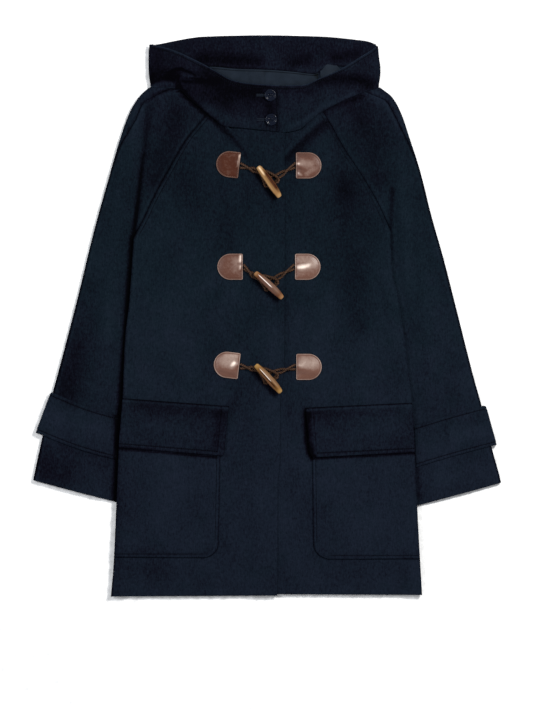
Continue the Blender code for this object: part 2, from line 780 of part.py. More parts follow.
def make_neck_lining():
    """The satin lining where it shows inside the back of the neck."""
    rows = []
    for share in (0.0, 0.25, 0.5, 0.75, 1.0):
        row = []
        for x in np.linspace(-86.0, 84.0, 13):
            y = mix(LINING_FOOT_Y, follow(BACK_NECK, "x", "y", x) - GAP, share)
            row.append((x, y, neck_lift(y) + WOOL + GAP + LINING))
        rows.append(row)
    return wall("neck_lining", rows, LINING, "satin")


def turned(name, profile, steps, look):
    """A solid turned about Z from a profile of (radius, z), top to bottom."""
    data = bpy.data.meshes.new(name)
    points = [(r * MM, 0.0, z * MM) for r, z in profile]
    data.from_pydata(points, [(i, i + 1) for i in range(len(points) - 1)], [])
    item = add_object(name, data, look)
    screw = item.modifiers.new("turn", "SCREW")
    screw.steps = steps
    screw.render_steps = steps
    screw.use_merge_vertices = True
    screw.merge_threshold = 0.0001
    screw.use_smooth_shade = True
    return item


def make_buttons():
    """The two buttons, on the throat lap and square to it."""
    half = BUTTON_DIAMETER / 2.0
    top = BUTTON_THICKNESS
    profile = (
        (0, top - 1.4), (half * 0.6, top - 1.4), (half * 0.72, top - 0.4), (half * 0.84, top),
        (half * 0.96, top - 0.5), (half, top - 1.5), (half * 0.9, 1.3), (half * 0.5, 0), (0, 0),
    )
    for i in range(len(BUTTONS["x"])):
        x, y = BUTTONS["x"][i], BUTTONS["y"][i]
        item = turned("button_%d" % (i + 1), profile, 20, "button")
        z = hood_height("left", x, y) + lap(x)
        slope = (hood_height("left", x, y + 5.0) - hood_height("left", x, y - 5.0)) / 10.0
        item.location = Vector((x, y, z + BUTTON_CLEARANCE)) * MM
        item.rotation_euler = (math.atan(slope), 0.0, 0.0)


def make_patch(name, side, x, y, turn, width):
    """A leather patch, straight towards the middle and round away from it."""
    out = outward(side)
    half = PATCH_HEIGHT / 2.0
    straight = width - half
    angles = [math.radians(a) for a in (0, 18, 36, 54, 68, 80, 88)]
    columns = [(0.0, half), (straight * 0.5, half)]
    columns += [(straight + half * math.sin(a), half * math.cos(a)) for a in angles]
    spin = Matrix.Rotation(math.radians(turn), 2)
    rows = []
    for share in (-1.0, 0.0, 1.0):
        row = []
        for inset, reach in columns:
            p = spin @ Vector((out * inset, reach * share)) + Vector((x, y))
            row.append((p.x, p.y, top_of_front(side, p.x, p.y) + LEATHER + GAP))
        rows.append(row if side == "right" else row[::-1])
    return wall(name, rows, LEATHER, "leather")


def make_toggle(name, x, y, angle):
    """A horn toggle, tapered to its ends and a little flattened."""
    half = TOGGLE_LENGTH / 2.0
    ends = ((0.0, half), (1.9, half - 0.2), (3.1, half - 1.6), (4.5, half * 0.75), (5.7, half * 0.4))
    profile = ends + ((TOGGLE_RADIUS, 0.0),) + tuple((r, -z) for r, z in reversed(ends))
    item = turned(name, profile, 16, "horn")
    lie = Matrix.Rotation(math.radians(angle), 4, "Z") @ Matrix.Rotation(math.pi / 2.0, 4, "Y")
    item.matrix_world = (
        Matrix.Translation(Vector((x, y, TOGGLE_Z)) * MM)
        @ Matrix.Diagonal((1.0, 1.0, TOGGLE_FLATNESS, 1.0))
        @ lie
    )
    return item


def smooth_route(points, per_span):
    """Points along a smooth curve through the route's own points."""
    p = [Vector(q) for q in points]
    p = [p[0] * 2 - p[1]] + p + [p[-1] * 2 - p[-2]]
    route = []
    for a, b, c, d in zip(p, p[1:], p[2:], p[3:]):
        for k in range(per_span):
            t = k / per_span
            route.append(0.5 * ((2 * b) + (c - a) * t + (2 * a - 5 * b + 4 * c - d) * t * t
                                + (3 * b - a - 3 * c + d) * t ** 3))
    return route + [p[-2]]


def make_cord(name, points):
    """A cord along its route."""
    data = bpy.data.curves.new(name, "CURVE")
    data.dimensions = "3D"
    spline = data.splines.new("POLY")
    spline.points.add(len(points) - 1)
    for target, point in zip(spline.points, points):
        target.co = (*(point * MM), 1.0)
    data.bevel_depth = CORD / 2.0 * MM
    data.bevel_resolution = 2
    data.use_fill_caps = True
    return add_object(name, data, "cord")


def cord_point(place, lift):
    """A point of a cord's centre line that lies on the fronts, or lifted off them."""
    past_edge = place.x - follow(FRONT_EDGE, "y", "x", place.y)
    down = ease((past_edge - CORD_STEP[0]) / (CORD_STEP[1] - CORD_STEP[0]))
    under = FRONT_TOP + lap(place.x) * (1.0 - down)
    return Vector((place.x, place.y, under + CORD_CLEARANCE + CORD / 2.0 + lift * (CORD + GAP)))


def cord_route(patch_edge, edge_turn, toggle, angle, ends, cross_share):
    """A doubled cord's route: out of a patch, across itself, round under the toggle and back."""
    spin = Matrix.Rotation(math.radians(angle + 180.0), 2)
    under = []
    for along, across, lift in zip(ends["along"], ends["across"], ends["lift"]):
        under.append(cord_point(Vector(toggle) + spin @ Vector((along, -across)), lift))
    start = Vector(patch_edge)
    spread = Matrix.Rotation(math.radians(edge_turn), 2) @ Vector((0.0, CORD_SPREAD))
    cross = start.lerp((under[0].xy + under[-1].xy) / 2.0, cross_share)
    throat = (under[0].xy + under[-1].xy) / 2.0
    ahead = (throat - cross).normalized()
    aside = Vector((-ahead.y, ahead.x)) * CORD_APART
    if aside.dot(under[0].xy - throat) < 0.0:
        aside = -aside
    if spread.dot(under[0].xy - throat) > 0.0:
        spread = -spread
    middle = cross.lerp(throat, 0.5)
    route = [cord_point(start + spread, 0.0), cord_point(cross, 0.0), cord_point(middle + aside, 0.0)] + under
    return route + [
        cord_point(middle - aside, 0.0), cord_point(cross, 1.05), cord_point(start - spread, 0.0),
    ]


def make_fastening(i):
    """One row of the front: two patches, a toggle, its cord and the loop round it."""
    row = {name: FASTENINGS[name][i] for name in FASTENINGS}
    number = str(i + 1)
    left = (row["left_x"], row["left_y"], row["left_turn"], row["left_width"])
    make_patch("patch_left_" + number, "left", *left)
    make_patch("patch_right_" + number, "right", row["right_x"], row["right_y"], 0.0, PATCH_WIDTH)
    toggle = (row["toggle_x"], row["toggle_y"])
    angle = row["toggle_angle"]
    make_toggle("toggle_" + number, *toggle, angle)
    left_edge = (row["left_x"] + PATCH_CLEARANCE, row["left_y"])
    right_edge = (row["right_x"] - PATCH_CLEARANCE, row["right_y"])
    tie = cord_route(left_edge, row["left_turn"], toggle, angle, TOGGLE_CORD_ROUTE, 0.5)
    loop = cord_route(right_edge, 0.0, toggle, angle, LOOP_CORD_ROUTE, 0.45)
    make_cord("toggle_cord_" + number, smooth_route(tie, 2))
    make_cord("loop_cord_" + number, smooth_route(loop, 2))


def main():
    for item in list(bpy.data.objects):
        bpy.data.objects.remove(item, do_unlink=True)
    make_back()
    for side in ("left", "right"):
        make_front(side)
        make_sleeve(side)
        make_cuff_band(side)
        make_pocket(side)
        make_flap(side)
        make_hood_side(side)
    make_hood_back()
    make_crown()
    make_neck_lining()
    make_buttons()
    for i in range(len(FASTENINGS["toggle_x"])):
        make_fastening(i)


main()
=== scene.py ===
import math

import bmesh
import bpy
import numpy as np
from mathutils import Matrix, Vector


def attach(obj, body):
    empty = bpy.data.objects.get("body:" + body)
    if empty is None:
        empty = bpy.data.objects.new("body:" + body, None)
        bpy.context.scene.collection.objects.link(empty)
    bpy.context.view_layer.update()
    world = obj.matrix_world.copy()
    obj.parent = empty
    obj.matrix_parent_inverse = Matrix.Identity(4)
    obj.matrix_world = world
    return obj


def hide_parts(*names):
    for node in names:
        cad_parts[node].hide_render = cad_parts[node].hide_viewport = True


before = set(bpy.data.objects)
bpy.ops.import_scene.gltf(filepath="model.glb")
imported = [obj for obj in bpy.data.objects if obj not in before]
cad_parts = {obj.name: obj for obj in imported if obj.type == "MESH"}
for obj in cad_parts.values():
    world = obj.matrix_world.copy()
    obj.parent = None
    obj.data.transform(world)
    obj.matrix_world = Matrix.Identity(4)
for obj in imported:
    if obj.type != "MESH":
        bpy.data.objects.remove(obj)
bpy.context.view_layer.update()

# The looks of a wool duffle coat laid flat. Lengths in tables and constants are millimetres,
# and MM turns them into metres. The main lines and heights are those of the part's source.
MM = 0.001
SIDES = ("left", "right")

# ---------------------------------------------------------------- sizes of the cloth and trim

WOOL = 3.0
LINING = 1.0
LEATHER = 2.0
CORD = 3.0
GAP = 0.3
SEAM_HALF_GAP = 0.2
ARM_SEAM_HALF_GAP = 0.3
NECK_HALF_GAP = 0.3
ROUND_EDGE = 1.3
THIN_EDGE = 0.4

# Tops of the layers, and how one layer rises over or sinks beside another.
FRONT_TOP = 9.5
SLEEVE_TOP = 9.6
CROWN_TOP = 8.0
HOOD_TOP = 17.8
TOGGLE_Z = 24.5
BODY_OVER_SLEEVE = 3.4
BACK_OVER_SLEEVE = 6.6
FRONT_RAMP = (36.0, 12.0)
BACK_RAMP = (32.0, 9.0)
FRONT_FADE_Y = (75.0, 15.0)
BACK_FADE_Y = (60.0, 0.0)
TUCK = 8.0
SLEEVE_TUCKED_TOP = 6.3
SLEEVE_EDGE_RADIUS = 4.8
QUARTER_GIRTH = SLEEVE_EDGE_RADIUS * math.pi / 2.0

# The lap of the fronts, the hood and the neck.
LAP_RISE = WOOL + GAP
LAP_RAMP = (-38.0, -16.0)
UNDERLAP_X = -12.0
HOOD_LAP_X = 19.5
HOOD_OVER_FRONT = 3.5
HOOD_FOOT_X = (50.0, 62.0)
HOOD_REACH = (75.0, 30.0)
HOOD_REACH_X = (50.0, 120.0)
HOOD_SIDE_DROP = 5.0
HOOD_SIDE_REACH = 35.0
HOOD_CURL = 5.0
HOOD_BACK_X = (-189.0, 179.5)
HOOD_BACK_SINK = 2.0
HOOD_BACK_MIDDLE = -4.5
HOOD_BACK_ENDS = (166.0, 180.0)
THROAT_Y = 302.0
SEAM_TOP_Y = 350.0
SHOULDER_Y = 377.2
NECK_RAMP = (320.0, 373.0)
BACK_NECK_LIFT = CROWN_TOP + GAP
LIFT_SHARE = 0.5
NECK_REACH = (140.0, 95.0)

# Small pieces: the roll on the hood's rim, the lining, the facing and the two fillers of slits.
ROLL_RADIUS = 1.1
ROLL_INSET = 4.0
ROLL_END_X = 30.0
# A painted highlight along the roll on the hood's rim.
ROLL_PAINTED_HIGHLIGHT = 0.12
LINING_CORNER = (-96.0, 353.0)
FACING_X = (87.0, 123.0)
FACING_FOOT_Y = 382.0
GUSSET_TOP = 4.7
GUSSET_DROP = 12.0
GUSSET_THICKNESS = 1.2
NECK_CORNER_TOP = 8.8
NECK_CORNER_INSET = 2.4
NECK_CORNER_RISE = 0.4

PATCH_WIDTH = 42.0
PATCH_HEIGHT = 43.5
PATCH_CLEARANCE = 1.4
PATCH_CORNER = 2.6
TOGGLE_LENGTH = 62.0
TOGGLE_RADIUS = 6.2
TOGGLE_FLATNESS = 0.75
CORD_SPREAD = 3.8
CORD_APART = 2.8
CORD_CLEARANCE = 0.5
CORD_STEP = (2.0, 14.0)
STRAND_RADIUS = 1.32
STRAND_OFFSET = 0.98
STRAND_PITCH = 7.5
BUTTON_DIAMETER = 20.0
BUTTON_THICKNESS = 4.5
BUTTON_CLEARANCE = 0.6

# Lines of stitches: how far in from an edge, how deep they pull the cloth, and the length,
# pitch and radius of their stitches.
RAGLAN_STITCH = 6.5
POCKET_STITCH = 5.5
FLAP_SIDE_STITCH = 11.5
FLAP_FOOT_STITCH = 6.6
BAND_STITCH = 5.5
RIM_STITCH = 4.5
LAP_STITCH = 4.0
PATCH_STITCH = 2.2
LINING_STITCH = 3.0
CHANNEL = 0.8
WOOL_SEWING = (2.7, 3.6, 0.42)
SATIN_SEWING = (2.0, 3.0, 0.25)
LEATHER_SEWING = (2.1, 2.8, 0.28)
BUTTON_SEWING = (3.4, 9.0, 0.42)
BUTTONHOLE_SEWING = (1.85, 5.0, 0.4)

# Painted shade along seams and stitches, and a painted highlight on the ridge beside a seam.
SEWN_EDGE_FACTOR = 3.0
STITCH_SHADE = -0.42
POCKET_STITCH_SHADE = -0.2
RAGLAN_SHADE_STRENGTH = {"left": 1.0, "right": 0.4}
SEAM_SHADE, SEAM_SHADE_WIDTH = -0.3, 1.7
SEAM_RIDGE_HIGHLIGHT, SEAM_RIDGE_WIDTH, SEAM_RIDGE_PLACE = 0.1, 1.8, 4.3
PRESS_REACH = 7.0

# ---------------------------------------------------------------- smooth steps and curves


def line(*points):
    """A smooth line through points (place, value) that never overshoots them, as a function."""
    place, value = np.array(sorted(points), float).T
    step = np.diff(value) / np.diff(place)
    before, after = step[:-1], step[1:]
    same_way = before * after > 0.0
    total = np.where(same_way, before + after, 1.0)
    inner = np.where(same_way, 2.0 * before * after / total, 0.0)
    slope = np.concatenate((step[:1], inner, step[-1:]))

    def at(x):
        x = np.asarray(x, float)
        i = np.clip(np.searchsorted(place, x) - 1, 0, len(place) - 2)
        span = place[i + 1] - place[i]
        t = np.clip((x - place[i]) / span, 0.0, 1.0)
        near = value[i] * (1 + 2 * t) * (1 - t) ** 2 + slope[i] * span * t * (1 - t) ** 2
        far = value[i + 1] * t * t * (3 - 2 * t) + slope[i + 1] * span * t * t * (t - 1)
        return near + far

    return at


def ease(t):
    """A smooth step from 0 to 1."""
    t = np.clip(t, 0.0, 1.0)
    return t * t * (3.0 - 2.0 * t)


def rise(value, start, end):
    """A smooth step from 0 at the start to 1 at the end, whichever of them is larger."""
    return ease((value - start) / (end - start))


def mix(a, b, t):
    return a + (b - a) * t


def bell(distance, width):
    """A soft bump: 1 at distance 0, almost nothing at twice the width."""
    return np.exp(-((distance / width) ** 2))


def outward(side):
    return -1.0 if side == "left" else 1.0


# ---------------------------------------------------------------- the coat's main lines

# The body's edge, the sleeve's outline and the raglan seam: x at a y.
BODY_EDGE = {
    "left": line(
        (285, -202), (228, -212.5), (181, -216), (129, -220.5), (28, -227.5), (-40, -235), (-137, -239),
        (-211, -245), (-309, -249), (-414, -254), (-466, -258.5),
    ),
    "right": line(
        (285, 211), (205, 207.5), (139, 203.5), (100, 204.5), (66, 207.5), (35, 215.5), (-175, 241),
        (-313, 247), (-466, 255.5),
    ),
}
SLEEVE_OUTLINE = {
    "left": line(
        (378, -193.5), (363, -210), (337, -226.5), (292, -243), (223, -263), (140, -286), (28, -313.5),
        (-106, -348.5), (-124, -353.5), (-195, -370), (-267, -385.5), (-290, -389.5),
    ),
    "right": line(
        (378, 184), (361, 205.5), (338, 219), (292, 235), (239, 252), (167, 270), (91, 291.5), (26, 308),
        (-106, 341.5), (-147, 353), (-219, 370.5), (-273, 385), (-290, 388),
    ),
}
RAGLAN_SEAM = {
    "left": line(
        (380, -64), (350, -88), (327, -104), (290, -134), (241, -162.5), (186, -192), (160, -204),
        (129, -220.5),
    ),
    "right": line((380, 56), (350, 82), (330, 96), (274, 128), (229, 157.5), (183, 184), (139, 203.5)),
}
UNDERARM_Y = {"left": 129, "right": 139}
# Distance in from the sleeve's outline to the seam between its two pieces, at a y.
ARM_SEAM = {
    "left": line((378, 44), (368, 30), (350, 14), (325, 15), (307, 11), (279, 4), (240, 1.8), (-300, 1.8)),
    "right": line((378, 44), (363, 26), (354, 14), (338, 13), (309, 9), (283, 5), (250, 1.8), (-300, 1.8)),
}
# y of a cuff's outer and inner corner, and of the hem at a front's outer and inner edge.
CUFF_Y = {"left": (-271, -309), "right": (-275, -315)}
HEM_Y = {"left": (-462.5, -461), "right": (-460, -458.7)}
FRONT_EDGE = line((305, 29), (100, 29), (-77, 28), (-139, 21.5), (-238, 20.5), (-275, 17), (-466, 16.5))
NECK_SEAM = {
    "left": (
        (-88, 350), (-80, 331), (-66, 314), (-60, 309), (-45, 308.5), (-20, 306), (5, 303.5), (29, 301),
    ),
    "right": ((-12, 300.5), (20, 300.5), (45, 303.8), (57, 307), (64, 316), (72, 332), (82, 350)),
}
# y and x of the back's raglan seam, straight from row to row.
BACK_RAGLAN = {"left": ((129, 350, 410), (-220.5, -97, -95)), "right": ((139, 350, 410), (203.5, 92, 90))}
BACK_HEM_Y = -458

# The hood's opening, lower edge and top, and the back's neck: y at an x.
HOOD_SIDE_X = {"left": -194, "right": 184.5}
HOOD_RIM = {
    "left": line(
        (-194, 448), (-156, 437), (-113, 417.5), (-85, 402.5), (-57, 387.5), (-28, 382), (20, 378.5),
    ),
    "right": line(
        (-12, 379), (57, 379), (84, 389.5), (115, 402.5), (156, 427), (172, 436.8), (179.6, 441.8),
        (184.5, 446),
    ),
}
HOOD_FOOT = {
    "left": line(
        (-194, 376.5), (-170, 376), (-149, 374.5), (-128, 357), (-105, 338), (-85, 322), (-70, 312),
        (-60, 311.5), (-45, 310), (-20, 307.3), (5, 304.7), (20, 303.2),
    ),
    "right": line(
        (-12, 301.3), (20, 301.5), (45, 305), (57, 310), (66, 318), (87, 334), (128, 356), (146, 363.5),
        (165, 370.5), (184.5, 376),
    ),
}
HOOD_TOP_ARC = line(
    (-190, 446.5), (-101, 461), (-4, 463), (87, 461), (148, 455.5), (166, 452.8), (179, 448),
)
BACK_NECK = line(
    (-178, 402), (-120, 408), (-95, 411), (-50, 407.5), (-2, 406), (44, 402.5), (78, 399), (92, 406),
    (108, 412), (172, 402),
)
# How far the folded edge of each side lies outside its straight line, at a y.
HOOD_BOW = {
    "left": (
        (376.5, -1.4), (381, -0.6), (389, 0.6), (398, 1.8), (414, 2.4), (431, 2.2), (440, 1.8), (448, 1),
    ),
    "right": (
        (376.5, -0.6), (383, -0.2), (389, 1), (396, 1.9), (403, 2.4), (409, 2.2), (416, 1.4), (422, 0.4),
        (429, -0.4), (436, -1), (442, -1.2), (446, -3),
    ),
}
HOOD_BOW_REACH = 40

# y of the top and bottom, x of the inner edge at each, and the radius of the lower corner.
POCKETS = {
    "left": dict(top=-172, bottom=-398, inner=(-76.5, -81), corner=23),
    "right": dict(top=-172, bottom=-400.5, inner=(73, 76), corner=26),
}
# Each edge: y at the body's edge and at the inner end. x of the inner end at top and bottom.
FLAPS = {
    "left": dict(upper=(-135.5, -148.5), lower=(-217, -231.5), inner=(-63.5, -71.5), corner=4),
    "right": dict(upper=(-143, -151), lower=(-225, -233.5), inner=(63, 70.5), corner=9),
}
# Upper and lower corner of the outer edge, y of those of the inner edge, and the rows' sag.
CUFF_BANDS = {
    "left": dict(outer=((-357.5, -126), (-382.5, -193)), inner_y=(-165, -237.5), sag=4),
    "right": dict(outer=((360.5, -148), (378.5, -213)), inner_y=(-181.5, -249.5), sag=-1),
}
# Left patch: x, y, turn and width. Right patch: x and y. Toggle: x, y and angle.
FASTENINGS = (
    dict(left=(-46, 248, -7, 38.5), right=(47, 248), toggle=(3, 221, -54.5)),
    dict(left=(-40.5, 81, 0, PATCH_WIDTH), right=(45.5, 81), toggle=(2.6, 50.5, -43)),
    dict(left=(-46.5, -83, -7, PATCH_WIDTH), right=(47.5, -84), toggle=(1.8, -103, -47.5)),
)
BUTTONS = ((4.8, 363.5), (6.3, 323.5))

# Routes under a toggle: along it, across it, and the share of a cord's thickness off the front.
TOGGLE_CORD_ROUTE = (
    (28, -5, 0.5), (18, 5.5, 0.9), (9, 10.5, 1), (2, 13.8, 1), (-4.5, 15, 1), (-8.5, 12, 1), (-7, 6, 1),
    (-2.5, 1, 1), (0.5, -4, 1), (2, -8, 1), (9, -6.2, 0.9), (18, -4.6, 0.6), (24, -6.4, 0.3),
)
LOOP_CORD_ROUTE = (
    (2.5, 15.5, 0), (5, 9, 0), (5, 2, 0), (3.5, -5, 0), (0.5, -9.2, 0), (-3.5, -8.5, 0), (-5.5, -3, 0),
    (-5.8, 4, 0), (-5.2, 11, 0), (-4, 16.5, 0),
)

# Creases: heights at a line's start and end, half widths to its left and right, its points.
BODY_FOLDS = (
    (3.2, 0.2, 38, 6, (-74, 311), (-37, 274), (-9, 246)),
    (2.6, 0.2, 8, 38, (56, 313), (34, 279), (26, 258)),
    (-2.6, -0.4, 28, 8, (78, 318), (50, 283), (36, 256)),
    (-1.2, 0, 14, 14, (-92, 318), (-66, 286), (-52, 262)),
    (1, 0, 30, 26, (-150, 100), (-168, -30), (-172, -120)),
    (1, 0, 26, 34, (148, 120), (172, 0), (180, -110)),
    (-0.8, 0, 24, 24, (-190, 60), (-205, -60)),
    (0.9, 0.3, 34, 34, (-120, -240), (-150, -440)),
    (0.9, 0.3, 34, 34, (110, -250), (150, -440)),
    (-0.8, -0.3, 26, 26, (-20, -200), (-30, -450)),
)
SLEEVE_FOLDS = {
    "left": (
        (2.4, 2.6, 15, 22, (-214, 290), (-246, 130), (-273, -48), (-281, -128)),
        (1.6, 1.2, 8, 14, (-235, 223), (-246, 60), (-255, -114)),
        (-2.4, -3, 5, 7, (-199, 345), (-205, 274), (-213, 191), (-221, 127)),
        (1.4, 0.6, 18, 18, (-300, -60), (-318, -190), (-330, -290)),
        (-1.2, -0.6, 14, 14, (-262, 120), (-300, -20)),
    ),
    "right": (
        (2.4, 1.8, 20, 13, (214, 240), (222, 102), (236, -114)),
        (1.8, 1.2, 14, 10, (251, 30), (256, -114)),
        (-2.4, -1.2, 7, 7, (209, 205), (207, 102)),
        (-1.4, -1, 9, 10, (236, 160), (243, 20), (248, -100)),
        (1.4, 0.6, 18, 18, (290, -40), (312, -180), (330, -290)),
    ),
}
HOOD_FOLDS = {
    "left": (
        (2.6, 2.2, 13, 4, (-176, 398), (-163, 407), (-147, 412), (-130, 409), (-112, 401)),
        (-2.8, -1.2, 3, 3, (-167, 391), (-160, 400), (-148, 406), (-136, 404), (-119, 396)),
        (1.8, 0.8, 3.2, 3.2, (-152, 396), (-141, 398), (-124, 394), (-106, 391), (-86, 391)),
        (-2.2, -0.8, 3, 4, (-146, 384), (-128, 386), (-106, 385), (-76, 391)),
        (-1.6, -1.6, 4, 3, (-192, 383), (-178, 388), (-165, 390), (-154, 386), (-147, 377)),
        (1.8, 1, 9, 9, (-142, 375), (-112, 362), (-84, 345)),
        (-1.6, 0, 10, 10, (-60, 352), (-40, 330)),
        (1.4, 0.6, 12, 8, (-56, 372), (-30, 356), (-14, 352)),
    ),
    "right": (
        (3.4, 2.2, 7, 13, (58, 372), (92, 388), (126, 399), (160, 402), (182, 392)),
        (-3, -2.4, 9, 9, (72, 364), (104, 376), (140, 384), (172, 380)),
        (2, 1, 9, 9, (84, 345), (120, 362), (150, 370)),
    ),
}
HOOD_BACK_FOLDS = (
    (-2.2, 0, 16, 16, (-52, 408), (-50, 432)),
    (-2, 0, 13, 13, (52, 403), (50, 426)),
    (1.6, 0, 16, 16, (-12, 407), (-8, 440)),
    (-1.6, -0.4, 14, 14, (-120, 412), (-96, 428)),
    (1.4, 0.4, 12, 12, (88, 410), (100, 436)),
    (-1.8, -0.4, 12, 12, (128, 406), (136, 426)),
)

# Painted shade and light on the wool: shadows cast by the hood, flaps and toggles, shade in creases,
# seams and slots, light along ridges and edges, and broad darker or lighter zones.
# Each row: changes of shade at a line's start and end, half widths, points, as above.
HOOD_SHADOW = (
    -0.9, -0.12, 3.2, 3.8, (-146, 376), (-128, 357), (-106, 337), (-86, 320), (-72, 308), (-57, 293),
    (-44, 278), (-31, 259),
)
RIGHT_HOOD_SHADOW = (-0.3, -0.25, 3.5, 3.5, (156, 363), (120, 349), (86, 333))
BODY_SHADES = (
    HOOD_SHADOW,
    (-0.1, -0.1, 16, 12, (112, 318), (120, 270), (127, 205)),
    (-0.09, -0.07, 28, 28, (-135, 215), (-140, 130)),
    # painted shadow beside the right flap's inner edge
    (-0.5, -0.7, 3.8, 3.4, (62.5, -158), (64.5, -205), (68.5, -226), (74, -235.5)),
    # painted shadows along the lower-left sides of the three toggles
    (-0.42, -0.42, 5.5, 5.5, (-17.4, 235.9), (10.4, 196.9)),
    (-0.42, -0.42, 5.5, 5.5, (-20.4, 61), (14.7, 28.3)),
    (-0.42, -0.42, 5.5, 5.5, (-20.3, -90.7), (12.1, -126.1)),
    (-0.34, -0.26, 11, 3.5, (92, 318), (58, 288), (32, 261)),
    (0.1, 0.08, 3, 3, (82, 322), (54, 296), (28, 270)),
    # darker towards the top
    (-0.12, 0, 400, 400, (0, 340), (0, 60)),
    (-0.17, -0.1, 26, 26, (128, 210), (138, 120), (146, -10)),
    (-0.09, -0.05, 22, 22, (-75, 215), (-70, 125)),
    (0.05, 0.05, 50, 50, (-165, 100), (-175, -110)),
    (-0.1, -0.12, 10, 14, (-238, -140), (-254, -455)),
    (-0.08, -0.06, 16, 16, (-235, -415), (-150, -425)),
    (0.08, 0.08, 16, 16, (232, -300), (244, -455)),
    (-0.15, -0.05, 12, 12, (-60, -152), (-38, -108)),
    (-0.12, -0.1, 8, 5, (60, -150), (66, -225)),
    (-0.06, -0.06, 9, 9, (30, 120), (34, -170)),
)
POCKET_SHADES = (
    # painted shadows under the flaps' lower edges
    (-0.45, -0.62, 2.1, 2.1, (-244, -218.6), (-84, -232.8)),
    (-0.65, -0.42, 2.1, 2.1, (74, -235), (242, -226.6)),
    (0.05, 0.05, 34, 34, (-165, -260), (-172, -330)),
    (0.05, 0.07, 34, 34, (110, -270), (215, -370)),
    (-0.08, -0.08, 12, 12, (-240, -395), (-80, -398)),
    (-0.05, -0.05, 10, 10, (75, -400), (240, -402)),
    (-0.08, -0.08, 10, 10, (-240, -200), (-250, -400)),
)
FLAP_SHADES = {
    "left": (
        (-0.17, -0.2, 10, 14, (-220, -143), (-140, -150), (-75, -160)),
        (-0.15, -0.12, 9, 9, (-78, -160), (-84, -215)),
        (0.08, 0.06, 11, 11, (-205, -183), (-140, -190)),
        (-0.08, -0.08, 60, 60, (-240, -190), (-80, -196)),
        (-0.14, -0.14, 5, 5, (-240, -216), (-80, -230)),
    ),
    "right": (
        (-0.18, -0.06, 12, 10, (66, -160), (140, -158), (220, -152)),
        (0.05, 0.09, 12, 12, (100, -195), (212, -185)),
        (-0.11, -0.11, 60, 60, (66, -196), (235, -190)),
        # painted shadow along the flap's inner edge
        (-0.7, -0.7, 3, 3.4, (64, -162), (66.5, -205), (71, -229), (77, -234)),
        (-0.12, -0.1, 5, 5, (75, -230), (235, -224)),
    ),
}
SLEEVE_SHADES = {
    "left": (
        HOOD_SHADOW,
        (-0.12, 0, 400, 400, (-150, 340), (-250, 60)),
        (-0.12, -0.2, 9, 3, (-197, 345), (-202, 300), (-204, 272)),
        (-0.35, -0.75, 3.2, 3.6, (-204, 266), (-208, 235), (-213, 191), (-221, 127)),
        # painted shade in the slot beside the body's edge
        (-0.75, -0.6, 5, 5, (-222, 129), (-230, 28), (-242, -137), (-252, -309)),
        (-0.14, -0.14, 24, 24, (-150, 330), (-178, 225)),
        (0.1, 0.1, 8, 8, (-215, 331), (-243, 208), (-256, 92), (-263, -40)),
        (-0.06, -0.06, 4, 4, (-226, 300), (-252, 130), (-258, 20)),
        (-0.14, -0.2, 24, 20, (-300, 40), (-318, -60), (-340, -130)),
        (-0.04, -0.12, 50, 50, (-285, -40), (-300, -140), (-310, -240)),
        (-0.24, -0.12, 26, 26, (-380, -232), (-350, -265)),
        (0.07, 0.05, 14, 14, (-300, -235), (-285, -262)),
        (0.16, 0.06, 6, 6, (-150, 373), (-186, 364), (-212, 338)),
        (0.22, 0.22, 1.6, 1.6, (-190, 377.2), (-154, 377.2)),
        (
            -0.3, -0.4, 2, 2.4, (-201, 350), (-190, 358.5), (-180, 365), (-169, 370), (-158, 373.6),
            (-148, 374),
        ),
    ),
    "right": (
        RIGHT_HOOD_SHADOW,
        (-0.1, 0, 400, 400, (150, 340), (250, 60)),
        (-0.16, -0.12, 24, 24, (150, 345), (168, 285), (185, 225)),
        (0.14, 0.1, 8, 8, (175, 368), (205, 340), (228, 300)),
        (-0.28, -0.14, 4, 4, (206, 208), (203, 150), (205, 92)),
        (0.1, 0.05, 14, 14, (222, 210), (236, 110), (250, 0)),
        (-0.06, -0.06, 7, 7, (240, 150), (252, 20), (262, -90)),
        (-0.15, -0.18, 5, 5, (243, -175), (251, -300)),
        (0.09, 0.09, 12, 12, (280, -272), (345, -256)),
    ),
}
BAND_SHADES = {
    "left": (
        (0.1, 0.08, 13, 13, (-345, -168), (-262, -192)),
        (-0.1, -0.1, 6, 6, (-355, -132), (-300, -152), (-245, -165)),
        (-0.1, -0.12, 4, 4, (-375, -197), (-310, -224), (-248, -238)),
        # painted shade in the slot beside the body's edge
        (-0.8, -0.75, 5, 4, (-247.5, -160), (-248.5, -200), (-249.5, -246)),
    ),
    "right": (
        (-0.18, -0.1, 7, 9, (276, -150), (258, -172), (246, -186)),
        (0.1, 0.12, 13, 13, (310, -195), (356, -190)),
        (-0.08, -0.08, 4, 4, (252, -248), (370, -216)),
    ),
}
